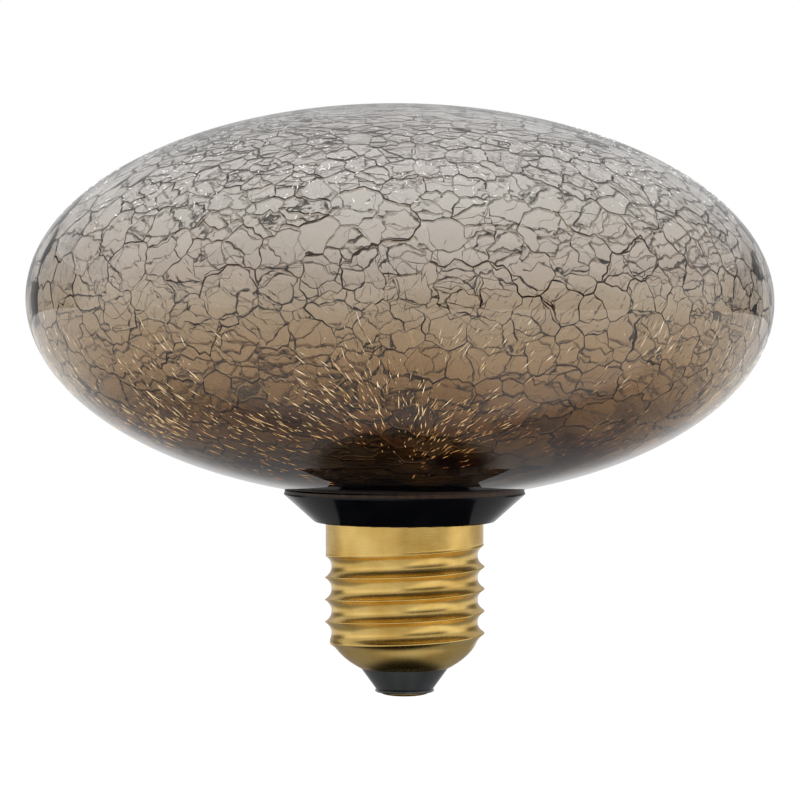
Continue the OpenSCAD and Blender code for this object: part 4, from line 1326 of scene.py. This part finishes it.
def studio_floor():
    # Matt white paper, with the lamp's shadow kept. In polished surfaces it shows a painted
    # reflection: grey behind the lamp, a painted shadow close under it, and paler in front,
    # most on the right
    made, tree = new_material("seamless_paper")
    rays = node(tree, "ShaderNodeLightPath").outputs
    place = node(tree, "ShaderNodeTexCoord").outputs["Object"]
    spot = node(tree, "ShaderNodeSeparateXYZ", {0: place}).outputs
    known = worked_out(tree, {
        "x": spot["X"], "y": spot["Y"], "camera": rays["Is Camera Ray"],
        "glossy": rays["Is Glossy Ray"], "through": rays["Is Transmission Ray"]}, (
        ("xx", "x", "MULTIPLY", "x"),
        # Seen through the glass: painted shade, dimmer close behind the lamp
        ("far", "y", "SUBTRACT", 0.09),
        ("clear", "far", "MULTIPLY", "far", "ADD", "xx", "SQRT",
         "SMOOTHSTEP", 0.05, 0.17, 0.6, 1.0, "MULTIPLY", 1.1, "MULTIPLY", "through"),
        # Mirrored: a painted shadow, a near-black oval under and behind the lamp
        ("behind", "y", "SUBTRACT", 0.065),
        ("across", "x", "DIVIDE", 0.032),
        ("across", "across", "MULTIPLY", "across"),
        ("deep", "behind", "DIVIDE", 0.078),
        ("cloth", "deep", "MULTIPLY", "deep", "ADD", "across", "SQRT",
         "SMOOTHSTEP", 0.8, 1.2, 0.03, 1.0),
        # Mirrored, a painted reflection: the paler front, with its two sides, and the grey behind,
        # paler further off
        ("left", "x", "SMOOTHSTEP", -0.06, -0.025, 0.1, 0.0),
        ("right", "x", "SMOOTHSTEP", 0.025, 0.06, 0.0, 0.45),
        ("front", "y", "SMOOTHSTEP", -0.04, 0.0, 1.0, 0.0),
        ("rest", 1.0, "SUBTRACT", "front"),
        ("front", "right", "ADD", 0.6, "ADD", "left", "MULTIPLY", "front"),
        ("paler", "behind", "MULTIPLY", "behind", "ADD", "xx", "SQRT",
         "SMOOTHSTEP", 0.08, 0.32, 0.28, 0.8, "MULTIPLY", "rest", "ADD", "front"),
        # A ray that went through glass counts as glossy too
        ("mirrored", 1.0, "SUBTRACT", "through", "MULTIPLY", "glossy"),
        ("seen", "camera", "MULTIPLY", 1.1),
        ("strength", "paler", "MULTIPLY", "cloth", "MULTIPLY", "mirrored", "ADD", "clear",
         "ADD", "seen"),
        ("share", "camera", "MULTIPLY", 0.85, "ADD", "mirrored", "ADD", "through",
         "MINIMUM", 1.0),
    ))
    fibre = node(tree, "ShaderNodeTexNoise", {
        "Vector": place, "Scale": 1 / (4 * MM), "Detail": 3.0})
    paper = node(tree, "ShaderNodeValToRGB", {0: fibre.outputs[0]},
                 [(0.3, "#eeeeee"), (0.7, "#f6f6f6")]).outputs[0]
    matt = node(tree, "ShaderNodeBsdfDiffuse", {"Color": paper}).outputs[0]
    white = node(tree, "ShaderNodeEmission", {
        "Color": (1, 1, 1, 1), "Strength": known["strength"]}).outputs[0]
    top = node(tree, "ShaderNodeMixShader", {0: known["share"], 1: matt, 2: white}).outputs[0]
    # From underneath the paper is left clear, so that it never hides the lamp
    nothing = node(tree, "ShaderNodeBsdfTransparent").outputs[0]
    under = node(tree, "ShaderNodeNewGeometry").outputs["Backfacing"]
    both = node(tree, "ShaderNodeMixShader", {0: under, 1: top, 2: nothing}).outputs[0]
    return finish_material(made, tree, both)


# Brightness of the panels by the angle round the table: 0 towards the camera, + to the right
WALL_PANELS = [
    (-180, 0.5), (-158, 0.5), (-142, 0.2), (-118, 0.12), (-106, 0.9), (-60, 1.0), (-8, 0.85),
    (2, 0.28), (14, 0.1), (62, 0.1), (74, 1.0), (106, 1.0), (118, 0.14), (142, 0.2),
    (158, 0.5), (180, 0.5),
]


def studio_panels():
    # Pale and dark panels round the table, for bright and dim bands in polished metal
    made, tree = new_material("studio_panels")
    place = node(tree, "ShaderNodeTexCoord").outputs["Object"]
    spot = node(tree, "ShaderNodeSeparateXYZ", {0: place}).outputs
    known = worked_out(tree, {"x": spot["X"], "y": spot["Y"]}, (
        ("near", "y", "MULTIPLY", -1.0),
        ("share", "x", "ARCTAN2", "near", "LINEAR", -math.pi, math.pi),
    ))
    stops = [((degrees + 180) / 360, tone) for degrees, tone in WALL_PANELS]
    tone = node(tree, "ShaderNodeValToRGB", {0: known["share"]}, stops).outputs[0]
    light = node(tree, "ShaderNodeEmission", {"Color": tone, "Strength": 1.0}).outputs[0]
    return finish_material(made, tree, light)


def black_velvet():
    # A near-black sheet outside, clear from inside, seen only in mirrored rays: a painted dark
    # reflection in whatever looks down on it
    made, tree = new_material("black_velvet")
    dark = node(tree, "ShaderNodeEmission", {"Color": (0.01, 0.01, 0.011, 1), "Strength": 1.0})
    nothing = node(tree, "ShaderNodeBsdfTransparent").outputs[0]
    inside = node(tree, "ShaderNodeNewGeometry").outputs["Backfacing"]
    both = node(tree, "ShaderNodeMixShader", {0: inside, 1: dark.outputs[0], 2: nothing}).outputs[0]
    return finish_material(made, tree, both)


def arc(radius, height, degrees):
    """Points round the lamp's axis, from the camera's side on to the right."""
    return [(radius * math.sin(a), -radius * math.cos(a), height) for a in np.radians(degrees)]


def mirrored_strip(name, rows, material, closed=True):
    """A strip of the stage between two rows of points, which only mirrored rays meet."""
    n = len(rows[0])
    faces = [(i, (i + 1) % n, n + (i + 1) % n, n + i) for i in range(n if closed else n - 1)]
    made = new_object(name, new_mesh(name, rows[0] + rows[1], faces, material, smooth=False))
    made.visible_camera = made.visible_diffuse = made.visible_transmission = False
    made.visible_volume_scatter = made.visible_shadow = False
    material.cycles.emission_sampling = "NONE"


class LAMP_OT_stage(bpy.types.Operator):
    """Sets the floor, the panels, the lamps, the room's light and the camera"""

    bl_idname = "lamp.stage"
    bl_label = "Stage"

    def execute(self, context):
        studio = context.scene.lamp_studio
        scene = context.scene
        scene.view_settings.view_transform = "Standard"
        middle = (cad_low + cad_high) / 2
        wide = cad_high.x - cad_low.x

        far, down = 40.0, -studio.drop
        corners = [(-far, -far, down), (far, -far, down), (far, far, down), (-far, far, down)]
        new_object("floor", new_mesh(
            "floor", corners, [(0, 1, 2, 3)], studio_floor(), smooth=False))

        around = np.arange(0, 360, 2)
        mirrored_strip("studio_walls", [arc(1.6, z, around) for z in (down + 1 * MM, 0.5)],
                       studio_panels())
        # A black sleeve round the cap, seen only in mirrored rays, paints a dark reflection in the
        # glass above it in place of the cap's mirror image
        dark_sheet = black_velvet()
        around = np.arange(0, 360, 7.5)
        mirrored_strip("black_sleeve", [
            arc(13.6 * MM, z, around) for z in (-1 * MM, 28.2 * MM)], dark_sheet)
        # A black card under the collar's front blackens the middle of its gloss
        mirrored_strip("black_card", [
            arc(r, 28.3 * MM, np.linspace(-46, 46, 17)) for r in (26 * MM, 14.2 * MM)],
            dark_sheet, closed=False)

        for name, spot, size, power in (
            ("key_lamp", (-0.55, -0.75, 0.85), 0.7, 5.0),
            ("fill_lamp", (0.8, -0.6, 0.45), 0.8, 2.2),
            ("back_lamp", (0.15, 0.9, 0.8), 0.8, 2.5),
        ):
            light = bpy.data.lights.new(name, "AREA")
            light.shape, light.size, light.energy = "DISK", size, power
            lamp = bpy.data.objects.new(name, light)
            scene.collection.objects.link(lamp)
            lamp.location = middle + Vector(spot)
            lamp.rotation_euler = (middle - lamp.location).to_track_quat("-Z", "Y").to_euler()
            lamp.visible_glossy = lamp.visible_transmission = False

        world = bpy.data.worlds.new("room")
        scene.world = world
        world.use_nodes = True
        tree = world.node_tree
        tree.nodes.clear()
        rays = node(tree, "ShaderNodeLightPath").outputs
        direct = node(tree, "ShaderNodeMath", {
            0: rays["Is Camera Ray"], 1: rays["Is Transmission Ray"]}, operation="ADD").outputs[0]
        soft = node(tree, "ShaderNodeBackground", {"Color": (1, 1, 1, 1), "Strength": studio.soft})
        white = node(tree, "ShaderNodeBackground", {"Color": (1, 1, 1, 1), "Strength": 1.0})
        both = node(tree, "ShaderNodeMixShader", {
            0: direct, 1: soft.outputs[0], 2: white.outputs[0]})
        node(tree, "ShaderNodeOutputWorld", {"Surface": both.outputs[0]})

        data = bpy.data.cameras.new("camera")
        data.lens, data.sensor_width = studio.focal, 36.0
        data.dof.use_dof = False
        camera = bpy.data.objects.new("camera", data)
        scene.collection.objects.link(camera)
        away = wide * studio.margin * data.lens / data.sensor_width
        back = Vector((0, -math.cos(studio.elevation), math.sin(studio.elevation)))
        camera.location = middle + back * away
        camera.rotation_euler = (-back).to_track_quat("-Z", "Y").to_euler()
        data.clip_start, data.clip_end = 0.05, 200
        scene.camera = camera
        return {"FINISHED"}


# ---------------------------------------------------------------- add-on


class LAMP_PT_panel(bpy.types.Panel):
    """Lists the sizes and colours of the lamp, and the operators that make it"""

    bl_label = "Crackle-glass lamp"
    bl_idname = "LAMP_PT_panel"
    bl_space_type = "VIEW_3D"
    bl_region_type = "UI"
    bl_category = "Lamp"

    def draw(self, context):
        for name, group in SETTINGS.items():
            for key in group.__annotations__:
                self.layout.prop(getattr(context.scene, name), key)
        for operator in OPERATORS:
            self.layout.operator(operator.bl_idname)


OPERATORS = (
    LAMP_OT_crackle_glass, LAMP_OT_fissures, LAMP_OT_slivers, LAMP_OT_screw_shell,
    LAMP_OT_cap_end, LAMP_OT_collar, LAMP_OT_led_module, LAMP_OT_driver, LAMP_OT_stage,
)
SETTINGS = {"lamp_glass": GlassSettings, "lamp_cap": CapSettings, "lamp_studio": StudioSettings}


def register():
    for made in (*SETTINGS.values(), *OPERATORS, LAMP_PT_panel):
        bpy.utils.register_class(made)
    for name, group in SETTINGS.items():
        setattr(bpy.types.Scene, name, bpy.props.PointerProperty(type=group))


def unregister():
    for name in SETTINGS:
        delattr(bpy.types.Scene, name)
    for made in (LAMP_PT_panel, *reversed(OPERATORS), *SETTINGS.values()):
        bpy.utils.unregister_class(made)


def main():
    """Makes the whole lamp and its stage."""
    register()
    for operator in OPERATORS:
        group, name = operator.bl_idname.split(".")
        getattr(getattr(bpy.ops, group), name)()


if __name__ == "__main__":
    main()
